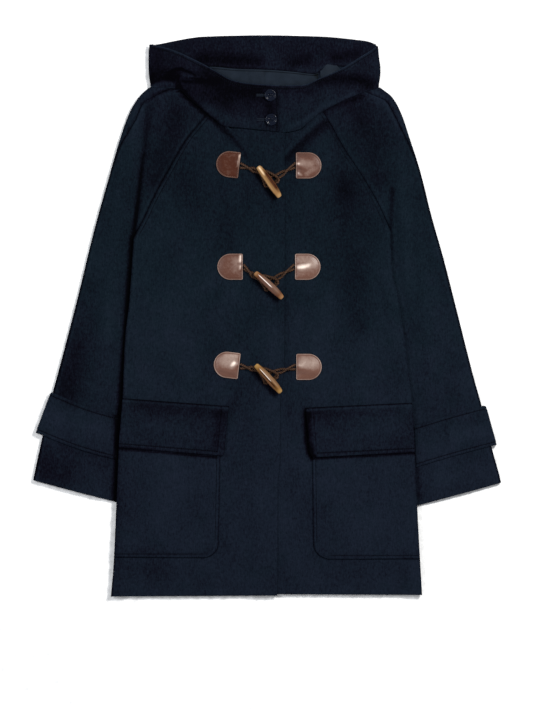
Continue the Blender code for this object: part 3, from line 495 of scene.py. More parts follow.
HOOD_SHADES = {
    "left": (
        HOOD_SHADOW,
        (-0.22, -0.24, 200, 200, (-150, 400), (20, 380)),
        (-0.12, -0.14, 14, 14, (-132, 376), (-104, 368), (-70, 352)),
        (-0.2, -0.26, 16, 16, (-100, 396), (-60, 372), (-15, 368)),
        (0.1, 0.12, 7, 9, (-100, 346), (-60, 323), (-10, 313)),
        (-0.1, -0.16, 24, 24, (-186, 432), (-178, 392)),
        (0.24, 0.16, 4, 4, (-192, 378), (-178, 382), (-164, 384), (-154, 380)),
        (0.25, 0.25, 1.4, 1.4, (-192, 376.6), (-170, 376), (-154, 375)),
        (-0.14, -0.24, 3, 2, (-192, 384), (-178, 389), (-165, 391), (-154, 387), (-147, 377)),
        (-0.06, -0.12, 14, 6, (-192, 398), (-168, 396), (-155, 394)),
        (-0.45, -0.6, 2.6, 2, (-165, 393), (-162, 398), (-156, 403), (-149, 406), (-141, 406)),
        (-0.6, -0.35, 1.9, 1.9, (-141, 406), (-133, 403), (-125, 400), (-119, 396)),
        (-0.22, -0.18, 6, 6, (-160, 393), (-150, 396)),
        (0.1, 0.12, 2.4, 2.4, (-141, 398), (-128, 394), (-114, 390), (-102, 391)),
        (-0.35, -0.6, 1.8, 1.8, (-126, 392), (-116, 390), (-106, 390)),
        (-0.34, -0.3, 1.9, 2.6, (-140, 387), (-126, 386), (-108, 385), (-92, 389), (-76, 391)),
        (-0.35, -0.45, 1.7, 1.7, (-148, 396), (-147, 387), (-144, 381), (-147, 377)),
        (-0.18, -0.18, 6, 6, (-98, 384), (-80, 388)),
        (-0.3, -0.3, 3, 3, (-189, 398), (-189, 384)),
        (0.12, 0.12, 3, 3, (-188, 447), (-156, 438), (-113, 419), (-100, 412)),
        (-0.2, -0.26, 9, 5, (5, 335), (5, 345)),
    ),
    "right": (
        RIGHT_HOOD_SHADOW,
        (-0.14, -0.18, 200, 200, (20, 380), (150, 400)),
        (0.06, 0.06, 12, 12, (24, 330), (60, 345)),
        (0.16, 0.18, 4, 5, (36, 312), (60, 322), (96, 346), (140, 366)),
        (-0.26, -0.28, 9, 9, (84, 386), (118, 392), (150, 390), (170, 382)),
        (0.08, 0.14, 4, 4, (96, 398), (130, 412), (172, 436)),
        (-0.1, -0.1, 8, 8, (30, 374), (70, 372)),
    ),
}
HOOD_BACK_SHADES = (
    (-0.26, -0.26, 11, 11, (-110, 424), (-60, 422), (-15, 420)),
    (-0.2, -0.16, 9, 9, (42, 416), (66, 424)),
    (-0.26, -0.2, 9, 9, (112, 426), (150, 434)),
    (-0.2, -0.2, 60, 60, (-170, 440), (170, 440)),
)
LINING_SHADES = (
    # painted shadow in the gap beside the facing
    (-0.42, -0.38, 4.5, 5, (84, 392), (78, 402)),
    (-0.08, -0.08, 1.2, 1.2, (-4, 385), (-4, 402)),
    (-0.1, -0.08, 6, 3, (-92, 408), (-60, 386), (20, 374), (70, 384)),
    (0.1, 0.08, 1.6, 1.6, (-96, 408.5), (-52, 405), (-6, 403.5)),
)
# Painted glints and painted shade on each patch, as above, but its points are measured from
# the middle of its straight edge: how far in and how far up.
PATCH_GLINTS = {
    "left": (
        ((0.62, 0.26, 1.2, 1.6, (2.2, 17), (2.6, 8), (3, -2)),),
        (
            (0.5, 0.45, 2.6, 2.2, (3.5, 18), (4, 9)),
            (0.4, 0.35, 2.2, 2.2, (4, 1), (4.5, -3)),
            (-0.2, -0.1, 1, 1, (2, 5), (9, 5.5)),
            (0.16, 0.1, 6, 6, (11, 10), (12, -4)),
        ),
        (
            (0.2, 0.16, 4, 5, (6, 17), (24, 15)),
            (0.32, 0.2, 3, 4, (9, 4), (13, -1)),
            (0.24, 0.2, 9, 8, (12, 5), (26, 5)),
            (-0.16, -0.1, 4, 4, (6, -14), (30, -12)),
        ),
    ),
    "right": (
        (
            (0.52, 0.16, 2.2, 2.2, (3, 3), (8, 2)),
            (0.42, 0.16, 2, 2, (4, -13), (9, -16)),
            (0.2, 0.16, 6, 6, (12, 5), (24, 2)),
            (0.12, 0.08, 4, 4, (18, -14), (30, -6)),
            (-0.22, -0.1, 1, 1, (5, -5), (18, -9)),
            (-0.12, -0.08, 3, 3, (4, 17), (28, 15)),
        ),
        (
            (0.3, 0.16, 3.6, 4, (5, -1), (15, 0), (22, 2)),
            (0.24, 0.24, 9, 7, (12, 0), (30, 4)),
            (0.1, 0.1, 6, 6, (4, 14), (18, 14)),
            (-0.15, -0.1, 1, 1, (4, 5), (18, 7)),
        ),
        (
            (0.28, 0.26, 9, 10, (12, 6), (28, 6)),
            (0.2, 0.12, 2, 2, (5, 3), (9, 2)),
            (-0.18, -0.14, 6, 5, (6, -8), (30, -12)),
        ),
    ),
}
# Edges sewn to a neighbour: row or column, which end, how firmly sewn and how dark its painted seam shade.
FLAP_EDGES = (("column", 0, 1, 0.4), ("row", -1, 1, 1.5), ("row", 0, 0.3, 3), ("column", -1, 0.3, 2))
POCKET_EDGES = (("column", 0, 1, 0.4), ("row", 0, 0.3, 1.6), ("column", -1, 0.3, 3))

# ---------------------------------------------------------------- heights of the layers


def relief(x, y, folds):
    """Height of the listed creases: each a soft ridge or trough along its line."""
    total = np.zeros(np.broadcast(x, y).shape)
    for start, end, left, right, *points in folds:
        spans = list(zip(points, points[1:]))
        lengths = [math.dist(a, b) for a, b in spans]
        best, height, width = total + np.inf, total * 0, total * 0 + 1
        run = 0
        for (a, b), length in zip(spans, lengths):
            dx, dy = (b[0] - a[0]) / length, (b[1] - a[1]) / length
            t = np.clip((x - a[0]) * dx + (y - a[1]) * dy, 0, length)
            off_x, off_y = x - a[0] - t * dx, y - a[1] - t * dy
            distance = np.hypot(off_x, off_y)
            closer = distance < best
            turn = (dx * off_y - dy * off_x) / np.maximum(distance, 1e-6)
            best = np.where(closer, distance, best)
            width = np.where(closer, mix(right, left, ease(0.5 + 0.5 * turn)), width)
            height = np.where(closer, mix(start, end, (run + t) / sum(lengths)), height)
            run += length
        total += height * bell(best, width)
    return total


# Wave length, heading and phase of each wave in cloth that lies by its own weight.
WAVES = (
    (71, 0.3, 0.4), (97, 1.9, 2.2), (123, 1.2, 4), (58, 2.6, 1.1), (173, 0.9, 5.2), (41, 0.1, 3.1),
)


def ripple(x, y, size):
    """Slow unevenness of cloth that lies by its own weight."""
    total = 0
    for length, heading, phase in WAVES:
        along = x * math.cos(heading) + y * math.sin(heading)
        total = total + np.sin(math.tau * along / length + phase) * length / 100
    return size * total / len(WAVES)


def front_side_x(side, y):
    return np.where(y > UNDERARM_Y[side], RAGLAN_SEAM[side](y), BODY_EDGE[side](y))


def back_side_x(side, y):
    return np.where(y > UNDERARM_Y[side], np.interp(y, *BACK_RAGLAN[side]), BODY_EDGE[side](y))


def inside_edge(side, x, y):
    """How far a place lies inside the body's edge."""
    return outward(side) * (BODY_EDGE[side](y) - x)


def neck_lift(y):
    return BACK_NECK_LIFT * rise(y, *NECK_RAMP)


def beside_neck(x, y):
    return LIFT_SHARE * neck_lift(y) * rise(np.abs(x), *NECK_REACH)


def lap(side, x):
    """How much the left side rises where it lies over the right one."""
    return LAP_RISE * rise(x, *LAP_RAMP) if side == "left" else 0


def over_sleeve(side, x, y, height, fade_y, edge_ramp):
    """How far the body's edge is pushed off the sleeve tucked beside it."""
    fade = rise(y - UNDERARM_Y[side], *fade_y)
    return height * fade * rise(inside_edge(side, x, y), *edge_ramp)


def front_rise(side, x, y):
    return over_sleeve(side, x, y, BODY_OVER_SLEEVE, FRONT_FADE_Y, FRONT_RAMP)


def body_relief(x, y):
    """Creases and unevenness that the front and all that lies on it share."""
    return relief(x, y, BODY_FOLDS) + ripple(x, y, 1.1) * rise(y, 310, 250)


def front_top(side, x, y):
    """Outer face of a front with its lap and creases."""
    level = FRONT_TOP + LIFT_SHARE * neck_lift(y) + front_rise(side, x, y)
    return level + body_relief(x, y) + lap(side, x)


def back_bottom(side, x, y):
    return neck_lift(y) + over_sleeve(side, x, y, BACK_OVER_SLEEVE, BACK_FADE_Y, BACK_RAMP)


def sleeve_top(side, x, y):
    """Outer face of the sleeve, away from its rounded outer edge."""
    inside = inside_edge(side, x, y)
    above_underarm = rise(y - UNDERARM_Y[side], 4, 28)
    high = front_rise(side, x, y) * rise(inside, -6, 4)
    low = (SLEEVE_TOP - SLEEVE_TUCKED_TOP) * rise(inside, -34, -8)
    level = SLEEVE_TOP + beside_neck(x, y) + high * above_underarm - low * (1 - above_underarm)
    from_outline = outward(side) * (SLEEVE_OUTLINE[side](y) - x)
    beside_body = mix(rise(inside, -4, -20), 1, above_underarm)
    loose = rise(from_outline, 3, 17) * beside_body * rise(y, 372, 332)
    return level + loose * (relief(x, y, SLEEVE_FOLDS[side]) + ripple(x, y, 0.9))


def hood_top(side, x, y):
    """Outer face of a hood side with its lap and creases."""
    over_front = rise(np.abs(x), *HOOD_FOOT_X)
    foot = mix(THROAT_Y, HOOD_FOOT[side](x), over_front)
    foot_z = FRONT_TOP + HOOD_OVER_FRONT * over_front + beside_neck(x, foot)
    top_z = HOOD_TOP - HOOD_SIDE_DROP * rise(np.abs(HOOD_SIDE_X[side] - x), HOOD_SIDE_REACH, 0)
    reach = mix(*HOOD_REACH, rise(np.abs(x), *HOOD_REACH_X))
    level = mix(foot_z, top_z, ease((y - foot) / reach))
    creases = relief(x, y, HOOD_FOLDS[side]) + ripple(x, y, 0.6)
    settled = body_relief(x, foot) * rise(y - foot, 40, 0) + creases * rise(y - foot, -4, 10)
    return level + settled + lap(side, x)


# ---------------------------------------------------------------- grids of points on the cloth

EDGE_STEPS = (0, 0.35, 0.9, 1.7)
SEAM_STEPS = (*EDGE_STEPS, 3, 4.4, 6.2)
NO_STEPS = (0,)


def steps(place):
    """Distances from an edge at which cloth has points: its round edge and a line of stitches."""
    return tuple(sorted(EDGE_STEPS + tuple(place + d for d in (-1.5, -0.7, 0, 0.7, 1.5))))


class Spread:
    """Points along a length: at fixed distances from both ends and even between them."""

    def __init__(self, longest, spacing, low=EDGE_STEPS, high=EDGE_STEPS):
        between = max(2, round((longest - low[-1] - high[-1]) / spacing))
        t = np.arange(1, between) / between
        self.longest, self.low, self.high = longest, low, high
        self.offset = np.concatenate((low, mix(low[-1], -high[-1], t), -np.array(high[::-1])))
        self.share = np.concatenate((np.zeros(len(low)), t, np.ones(len(high))))

    def along(self, length):
        """Distances of the points along a length, or along each of an array of lengths."""
        tight = np.minimum(1, 0.8 * np.asarray(length) / (self.low[-1] + self.high[-1]))
        return self.offset * tight + self.share * length

    def shares(self):
        """Places of the points along the longest length, as shares of it."""
        return self.along(self.longest) / self.longest

    def from_low(self, place):
        """Index of the point at this distance from the low end."""
        return self.low.index(place)

    def from_high(self, place):
        """Index of the point at this distance from the high end."""
        return len(self.offset) - 1 - self.high.index(place)


def grid_of(x, y, z):
    """A grid of points from coordinates, each spread over all its rows and columns."""
    return np.stack(np.broadcast_arrays(x, y, z), axis=-1)


def normals_of(grid):
    normal = np.cross(np.gradient(grid, axis=1), np.gradient(grid, axis=0))
    return normal / np.maximum(np.linalg.norm(normal, axis=2, keepdims=True), 1e-9)


def faces_away(grid, facing):
    """Whether a grid's normals point away from its outer face, judged at its highest place."""
    middle = (slice(2, -2), slice(2, -2))
    height = grid[..., 2][middle]
    highest = np.unravel_index(np.argmax(height), height.shape)
    return normals_of(grid)[..., 2][middle][highest] * facing < 0


def mirrored(seam):
    """The same seam or edge of a grid whose columns are now in reverse order."""
    kind, i, share, *dark = seam
    return (kind, -1 - i, share, *dark) if kind == "column" else (kind, i, np.flip(share), *dark)


def edge_distances(grid, sewn):
    """Distance of each point to the nearest edge along its row or column, and the seams' painted shade.

    An edge sewn to its neighbour counts as farther off, so that it is left less round.
    """
    distance = {}
    for axis, kind in enumerate(("row", "column")):
        step = np.linalg.norm(np.diff(grid, axis=axis), axis=2)
        start = np.insert(np.cumsum(step, axis=axis), 0, 0, axis=axis)
        distance[kind, 0] = start
        distance[kind, -1] = np.take(start, [-1], axis=axis) - start
    shade = 0
    for kind, end, share, dark in sewn:
        shade = shade + dark * share * seam_shade(distance[kind, end])
        distance[kind, end] = distance[kind, end] * (1 + SEWN_EDGE_FACTOR * share)
    return np.minimum.reduce(list(distance.values())), shade


def seam_shade(distance):
    """Painted shade in a seam, and a painted highlight on the ridge next to it."""
    dark = SEAM_SHADE * bell(distance, SEAM_SHADE_WIDTH)
    return dark + SEAM_RIDGE_HIGHLIGHT * bell(distance - SEAM_RIDGE_PLACE, SEAM_RIDGE_WIDTH)


def pulled_in(shape, seams):
    """How far each point sinks beside the lines of stitches, as a share of their full depth."""
    pulled = np.zeros(shape)
    for kind, i, share in seams:
        lines = pulled if kind == "row" else pulled.T
        for shift, part in ((-1, 0.45), (0, 1), (1, 0.45)):
            lines[i + shift] = np.maximum(lines[i + shift], part * np.asarray(share))
    return pulled


def new_object(name, points, faces, look, replaces=None, shade=0):
    """A mesh from points in millimetres, riding on the coat; shade is its tone: painted light and shade."""
    data = bpy.data.meshes.new(name)
    data.from_pydata((np.asarray(points) * MM).tolist(), [], faces)
    tone_and_painted_light = data.attributes.new("tone_and_painted_light", "FLOAT", "POINT")
    tone_and_painted_light.data.foreach_set("value", 0.5 + np.zeros(len(points)) + shade)
    data.shade_smooth()
    data.materials.append(look)
    item = bpy.data.objects.new(name, data)
    bpy.context.scene.collection.objects.link(item)
    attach(item, "root")
    if replaces:
        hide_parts(replaces)
    return item


def shell_faces(rows, columns):
    """Faces of a closed shell whose two sides are grids, the second after the first."""
    count = rows * columns
    index = np.arange(count).reshape(rows, columns)
    outer = np.stack((index[:-1, :-1], index[:-1, 1:], index[1:, 1:], index[1:, :-1]), axis=-1)
    outer = outer.reshape(-1, 4)
    ring = np.concatenate((index[0, :-1], index[:-1, -1], index[-1, :0:-1], index[:0:-1, 0]))
    after = np.roll(ring, -1)
    rim = np.stack((after, ring, ring + count, after + count), axis=-1)
    return np.concatenate((outer, outer[:, ::-1] + count, rim)).tolist()


def ring_faces(first, rings, sides, capped=True):
    """Faces of a round body from its rings of points, the first point's index given."""
    faces = []
    for ring in range(first, first + (rings - 1) * sides, sides):
        for k in range(sides):
            a, b = ring + k, ring + (k + 1) % sides
            faces.append((b, a, a + sides, b + sides))
    last = first + rings * sides - 1
    caps = [[first + k for k in range(sides)], [last - k for k in range(sides)]]
    return faces + (caps if capped else [])


def circle(sides):
    """Cosine and sine of each point's angle on a ring."""
    return [(math.cos(math.tau * k / sides), math.sin(math.tau * k / sides)) for k in range(sides)]


def cloth(name, grid, look, slot="wool", replaces=None,
          thickness=WOOL, edge=ROUND_EDGE, facing=1, seams=(), sewn=(), thread=None,
          sewing=WOOL_SEWING, channel=CHANNEL, stitch_shade=STITCH_SHADE, shades=(), painted_light=0, press=0):
    """A wall of cloth whose outer face follows a grid, with round edges and sunk lines of stitches.

    seams holds ("row" or "column", index, share of each point that is sewn), and sewn the edges
    joined to a neighbour, as ("row" or "column", 0 or -1, share sewn, how dark the painted seam shade).
    Free edges are pressed flatter by press. shades and painted_light are painted shade and light.
    """
    if faces_away(grid, facing):
        grid, painted_light = grid[:, ::-1], np.fliplr(np.atleast_2d(painted_light))
        seams, sewn = [mirrored(seam) for seam in seams], [mirrored(seam) for seam in sewn]
    normal = normals_of(grid)
    radius = min(edge, 0.45 * thickness)
    inside, shade = edge_distances(grid, sewn)
    short = np.clip(radius - inside, 0, radius)
    depth = radius - np.sqrt(radius * radius - short * short)
    pulled = pulled_in(grid.shape[:2], seams)
    shade = shade + relief(grid[..., 0], grid[..., 1], shades) + painted_light + stitch_shade * pulled
    pressed = press * (1 - ease(inside / PRESS_REACH))
    outer = grid - normal * (depth + channel * pulled + pressed)[..., None]
    inner = grid - normal * (thickness - depth)[..., None]
    points = np.concatenate((outer.reshape(-1, 3), inner.reshape(-1, 3)))
    faces = shell_faces(*grid.shape[:2])
    item = new_object(name, points, faces, look, replaces, np.tile(shade.ravel(), 2))
    if thread is not None:
        paths = []
        for kind, i, share in seams:
            path, up = (outer[i], normal[i]) if kind == "row" else (outer[:, i], normal[:, i])
            keep = np.broadcast_to(share, len(path)) > 0.5
            paths.append((path[keep], up[keep]))
        stitches(name + "_stitches", paths, thread, slot, *sewing)
    return item


STITCH_RINGS = ((-0.5, 0.3), (-0.3, 1), (0.3, 1), (0.5, 0.3))
STITCH_SIDES = 5


def at_run(place, run, values):
    """Values of a path at a place along it, run being the distances of its own points."""
    return np.array([np.interp(place, run, column) for column in values.T])


def stitches(name, paths, look, slot, length, pitch, radius, margin=1):
    """A row of stitches along each path of (points, normals), joined into one piece.

    Each stitch is a small capsule whose ends sink into the cloth.
    """
    points, faces = [], []
    for line_points, line_normals in paths:
        step = np.linalg.norm(np.diff(line_points, axis=0), axis=1)
        run = np.insert(np.cumsum(step), 0, 0)
        for start in np.arange(margin, run[-1] - length + 1e-6, pitch):
            middle = at_run(start + length / 2, run, line_points)
            along = at_run(start + length / 2 + 0.5, run, line_points) - middle
            along /= np.linalg.norm(along)
            across = np.cross(at_run(start, run, line_normals), along)
            up = np.cross(along, across / np.linalg.norm(across))
            faces += ring_faces(len(points), len(STITCH_RINGS), STITCH_SIDES)
            for share, size in STITCH_RINGS:
                centre = middle + along * length * share + up * radius * (0.75 - 0.9 * abs(share))
                for c, s in circle(STITCH_SIDES):
                    points.append(centre + radius * size * (across * c + up * s))
    return new_object(name, points, faces, look)


def straight_up(path):
    """A path of points and, for each, a normal that points straight up."""
    return path, np.tile((0, 0, 1), (len(path), 1))


# ---------------------------------------------------------------- the pieces of cloth

# Longest row and longest column of each piece's grid, each with the spacing of its points.
SPREADS = {
    "front": ((290, 3.8), (812, 4.2)),
    "back": ((510, 9), (868, 11)),
    "sleeve": ((170, 3.6), (690, 4.2)),
    "band": ((140, 4), (70, 5)),
    "hood_back": ((HOOD_BACK_X[1] - HOOD_BACK_X[0], 4.5), (52, 3)),
    "lining": ((180, 3), (56, 3)),
    "facing": ((36, 2), (34, 2)),
    "gusset": ((18, 3), (48, 4)),
    "neck_corner": ((44, 4), (30, 3)),
}
PLAIN = (EDGE_STEPS, EDGE_STEPS)
POCKET_WIDTH, POCKET_SPACING = 176, (5, 2.3)
FLAP_SPACING = (4.5, 4)
HOOD_SIDE_LENGTH, HOOD_SIDE_SPACING = 70, (3.2, 2.6)


def spreads(piece, across=PLAIN, along=PLAIN):
    """The spread of a piece's columns and that of its rows."""
    return Spread(*SPREADS[piece][0], *across), Spread(*SPREADS[piece][1], *along)


def make_front(side, wool, thread):
    out = outward(side)
    columns, rows = spreads("front", across=(steps(RAGLAN_STITCH), EDGE_STEPS))
    up = rows.shares()[:, None]

    def limits(y):
        middle = FRONT_EDGE(y) if side == "left" else UNDERLAP_X
        return front_side_x(side, y) - out * SEAM_HALF_GAP, middle

    seam = []
    for x, y in NECK_SEAM[side]:
        edge, middle = limits(y)
        seam.append((float((x - edge) / (middle - edge)), y))
    neck_y = line(*seam)
    y = mix(HEM_Y[side][0], SEAM_TOP_Y, up) + np.zeros(len(columns.offset))
    for _ in range(6):
        edge, middle = limits(y)
        inset = columns.along(np.abs(middle - edge))
        x = edge - out * inset
        share = inset / np.abs(middle - edge)
        y = mix(mix(*HEM_Y[side], share), neck_y(share), up)
    sewn = columns.from_low(RAGLAN_STITCH)
    share_sewn = rise(y[:, sewn] - UNDERARM_Y[side], 4, 10)
    cloth(
        "front_panel_" + side, grid_of(x, y, front_top(side, x, y)), wool, replaces="front_" + side,
        seams=[("column", sewn, share_sewn)], thread=thread, shades=BODY_SHADES,
        sewn=[("column", 0, 1, RAGLAN_SHADE_STRENGTH[side]), ("row", -1, 1.6, 0)],
        stitch_shade=STITCH_SHADE * RAGLAN_SHADE_STRENGTH[side],
    )


def make_back(wool):
    columns, rows = spreads("back")
    up = rows.shares()[:, None]
    x = 0
    for _ in range(6):
        y = mix(BACK_HEM_Y, BACK_NECK(x) - NECK_HALF_GAP, up)
        left, right = back_side_x("left", y) + SEAM_HALF_GAP, back_side_x("right", y) - SEAM_HALF_GAP
        x = left + columns.along(right - left)
    z = np.where(x < 0, back_bottom("left", x, y), back_bottom("right", x, y))
    cloth(
        "back_panel", grid_of(x, y, z), wool, replaces="back", facing=-1,
        sewn=[("column", 0, 1, 1), ("column", -1, 1, 1), ("row", -1, 1, 1)],
    )


def sleeve_limits(side, y, side_x):
    """Outline and inner edge of a sleeve piece, tucked under the body below the underarm."""
    out = outward(side)
    below = UNDERARM_Y[side] - y
    tucked = BODY_EDGE[side](y) + out * mix(SEAM_HALF_GAP, -TUCK, ease(below / 15))
    inner = np.where(below > 0, tucked, side_x(side, y) + out * SEAM_HALF_GAP)
    return SLEEVE_OUTLINE[side](y), inner


def girth_at(inset):
    """Girth from the outer fold to an inset, over the rounded edge."""
    turn = np.arccos(np.clip(1 - inset / SLEEVE_EDGE_RADIUS, 0, 1))
    return SLEEVE_EDGE_RADIUS * turn + np.maximum(inset - SLEEVE_EDGE_RADIUS, 0)


def sleeve_section(side, y, girth):
    """X and z at a girth from the outer fold, positive over the top, negative beneath."""
    turn = np.clip(girth / SLEEVE_EDGE_RADIUS, -math.pi / 2, math.pi / 2)
    beyond = np.maximum(np.abs(girth) - QUARTER_GIRTH, 0)
    inset = SLEEVE_EDGE_RADIUS * (1 - np.cos(turn)) + beyond
    x = SLEEVE_OUTLINE[side](y) - outward(side) * inset
    z = SLEEVE_EDGE_RADIUS * (1 + np.sin(turn))
    over = np.clip(girth - QUARTER_GIRTH, 0, 1)
    return x, z + over * (sleeve_top(side, x, y) - SLEEVE_TOP)


def upper_girths():
    """Shares of 1, the seam's girth and the inner edge's girth for each column of the upper piece."""
    columns, _ = spreads("sleeve", across=(SEAM_STEPS, SEAM_STEPS))
    start = 1 - columns.share
    return np.stack((columns.offset + ARM_SEAM_HALF_GAP * start, start, columns.share))


def under_girths():
    """The same for the under piece: from the seam round the outer fold and beneath."""
    shares = [(-ARM_SEAM_HALF_GAP - d, 1, 0) for d in EDGE_STEPS[:3]]
    shares += [(0, t, 0) for t in (0.62, 0.48, 0.36, 0.24, 0.12, 0)]
    shares += [(-QUARTER_GIRTH * t, 0, 0) for t in (0.25, 0.5, 0.75, 1)]
    shares += [(-QUARTER_GIRTH * (1 - t), 0, -t) for t in np.linspace(0, 1, 15)[1:]]
    return np.array(shares).T


def make_sleeve_piece(name, side, girths, side_x, wool):
    _, rows = spreads("sleeve")
    up = rows.shares()[:, None]
    y = mix(CUFF_Y[side][1], SEAM_TOP_Y, up) + np.zeros(girths.shape[1])
    for _ in range(8):
        outline, inner = sleeve_limits(side, y, side_x)
        seam = girth_at(ARM_SEAM[side](y))
        girth = girths[0] + girths[1] * seam + girths[2] * girth_at(np.abs(inner - outline))
        x, z = sleeve_section(side, y, girth)
        share = np.clip((x - outline) / (inner - outline), 0, 1)
        shoulder_y = np.interp(share, (0, 0.45, 1), (SHOULDER_Y, SHOULDER_Y, SEAM_TOP_Y))
        y = mix(mix(*CUFF_Y[side], share), shoulder_y, up)
    cloth(
        name + "_panel_" + side, grid_of(x, y, z), wool, replaces=name + "_" + side,
        shades=SLEEVE_SHADES[side],
        sewn=[("column", 0, 1, 0.8), ("column", -1, 1, RAGLAN_SHADE_STRENGTH[side])],
    )


def make_cuff_band(side, wool, thread):
    """The band round the cuff: a lip at the floor, up round the sleeve's edge and over it."""
    band = CUFF_BANDS[side]
    out = outward(side)
    (top_x, top_y), (low_x, low_y) = band["outer"]
    both = (steps(BAND_STITCH), steps(BAND_STITCH))
    across, rows = spreads("band", across=(NO_STEPS, SEAM_STEPS), along=both)
    share = across.shares()[1:]
    corner, height = WOOL + GAP, SLEEVE_TOP + WOOL + GAP
    turns = np.radians(np.linspace(0, 90, 7))
    curve_x = corner * (1 - np.sin(np.concatenate((turns, turns[::-1]))))
    rounding = corner * (1 - np.cos(turns))
    curve_z = np.concatenate((rounding, height - rounding[::-1]))
    grid = []
    for up in rows.shares():
        edge_x, edge_y = mix(low_x, top_x, up), mix(low_y, top_y, up)
        lip = max(abs(edge_x - float(SLEEVE_OUTLINE[side](edge_y))) - 0.5, corner + 0.6)
        y = mix(mix(low_y, band["inner_y"][1], share), mix(top_y, band["inner_y"][0], share), up)
        y = y - band["sag"] * np.sin(math.pi * share)
        x = mix(edge_x - out * corner, BODY_EDGE[side](y) + out * 0.5, share)
        z = mix(height, sleeve_top(side, x, y) + WOOL + GAP, ease(share / 0.2))
        grid.append(np.concatenate((
            [(edge_x - out * t, edge_y, 0) for t in (lip, lip - 0.3)],
            grid_of(edge_x - out * curve_x, edge_y, curve_z), grid_of(x, y, z),
        )))
    seams = [("row", i, 1) for i in (rows.from_low(BAND_STITCH), rows.from_high(BAND_STITCH))]
    cloth(
        "cuff_strap_" + side, np.array(grid), wool, replaces="cuff_band_" + side,
        seams=seams, thread=thread, shades=BAND_SHADES[side],
        press=0.6,
    )


def rounded_corner(radius, from_end):
    """How far a round corner draws the side edge in, at a distance from the piece's foot."""
    below = np.maximum(radius - from_end, 0)
    return radius - np.sqrt(np.maximum(radius * radius - below * below, 0))


def pocket_top(side, x, y):
    """Outer face of a pocket: on the front, hollow beside its belly."""
    hollow = -0.9 * bell(y + 330, 60)
    belly = ripple(x + 40, y - 25, 0.5) + hollow * rise(np.abs(x), 90, 150)
    return front_top(side, x, y) + WOOL + GAP + belly * rise(y - POCKETS[side]["bottom"], 0, 25)


def make_pocket(side, wool, thread):
    """A patch pocket sewn into the side seam, its lower inner corner round."""
    pocket = POCKETS[side]
    out = outward(side)
    radius, bottom, top = pocket["corner"], pocket["bottom"], pocket["top"]
    inner_top, inner_foot = pocket["inner"]
    rows = Spread(top - bottom, POCKET_SPACING[1], low=steps(POCKET_STITCH))
    columns = Spread(POCKET_WIDTH, POCKET_SPACING[0], high=steps(POCKET_STITCH))
    up = rows.along(top - bottom)[:, None] + np.zeros(len(columns.offset))
    y = bottom + up
    edge = BODY_EDGE[side](y) - out * SEAM_HALF_GAP
    inner = mix(inner_foot, inner_top, up / (top - bottom)) + out * rounded_corner(radius, up)
    x = edge - out * columns.along(np.abs(inner - edge))
    row, column = rows.from_low(POCKET_STITCH), columns.from_high(POCKET_STITCH)
    row_share = ease((np.abs(x[row]) - abs(inner_foot) - radius) / 5)
    column_share = ease((y[:, column] - bottom - radius) / 5)
    cloth(
        "pocket_panel_" + side, grid_of(x, y, pocket_top(side, x, y)), wool, replaces="pocket_" + side,
        seams=[("row", row, row_share), ("column", column, column_share)],
        sewn=POCKET_EDGES, shades=POCKET_SHADES, press=1.2, stitch_shade=POCKET_STITCH_SHADE,
    )
    sew_pocket(side, thread)


def sew_pocket(side, thread):
    """The pocket's stitches: along its foot, round its lower corner and up its inner edge."""
    pocket = POCKETS[side]
    out = outward(side)
    radius, bottom = pocket["corner"], pocket["bottom"]
    inner_top, inner_foot = pocket["inner"]
    turn = np.radians(np.linspace(0, 90, 12))
    centre_x, centre_y = inner_foot + out * radius, bottom + radius
    inset = radius - POCKET_STITCH
    x = np.concatenate((
        np.linspace(float(BODY_EDGE[side](bottom)) - out * 2, centre_x, 30),
        centre_x - out * inset * np.sin(turn),
        np.linspace(inner_foot, inner_top, 30) + out * POCKET_STITCH,
    ))
    y = np.concatenate((
        np.full(30, bottom + POCKET_STITCH), centre_y - inset * np.cos(turn),
        np.linspace(centre_y, pocket["top"], 30),
    ))
    path = grid_of(x, y, pocket_top(side, x, y) - 0.7 * CHANNEL)
    stitches("pocket_stitches_" + side, [straight_up(path)], thread, "wool", *WOOL_SEWING)


def make_flap(side, wool, thread):
    """A pocket flap, sewn along its upper edge and lying on the pocket."""
    flap = FLAPS[side]
    out = outward(side)
    upper, lower, inner = flap["upper"], flap["lower"], flap["inner"]
    drop = abs(lower[0] - upper[0])
    rows = Spread(drop, FLAP_SPACING[1], low=steps(FLAP_FOOT_STITCH), high=SEAM_STEPS)
    columns = Spread(POCKET_WIDTH, FLAP_SPACING[0], high=steps(FLAP_SIDE_STITCH))
    down = drop - rows.along(drop)[:, None] + np.zeros(len(columns.offset))
    share_down = down / drop
    inner_x = mix(*inner, share_down) + out * rounded_corner(flap["corner"], drop - down)
    edge = BODY_EDGE[side](mix(upper[0], lower[0], share_down)) - out * SEAM_HALF_GAP
    x = edge - out * columns.along(np.abs(inner_x - edge))
    across = (x - edge) / (inner[0] - edge)
    y = mix(mix(*upper, across), mix(*lower, across), share_down)
    over_pocket = ease(down / 16) * (WOOL + GAP)
    puff = 0.9 * np.sin(math.pi * np.clip(share_down, 0, 1)) + ripple(x, y + 60, 0.5) * share_down
    z = front_top(side, x, y) + WOOL + GAP + over_pocket + puff
    row, column = rows.from_low(FLAP_FOOT_STITCH), columns.from_high(FLAP_SIDE_STITCH)
    row_share = (np.arange(x.shape[1]) <= column).astype(float)
    column_share = 0.45 * (np.arange(x.shape[0]) >= row)
    cloth(
        "flap_panel_" + side, grid_of(x, y, z), wool, replaces="flap_" + side,
        seams=[("row", row, row_share), ("column", column, column_share)],
        thread=thread, sewn=FLAP_EDGES, shades=FLAP_SHADES[side], press=0.5,
    )


def hood_bow(side, inset, y):
    """How far the hood's side is moved in x, most at its folded edge."""
    return outward(side) * np.interp(y, *np.transpose(HOOD_BOW[side])) * rise(inset, HOOD_BOW_REACH, 0)


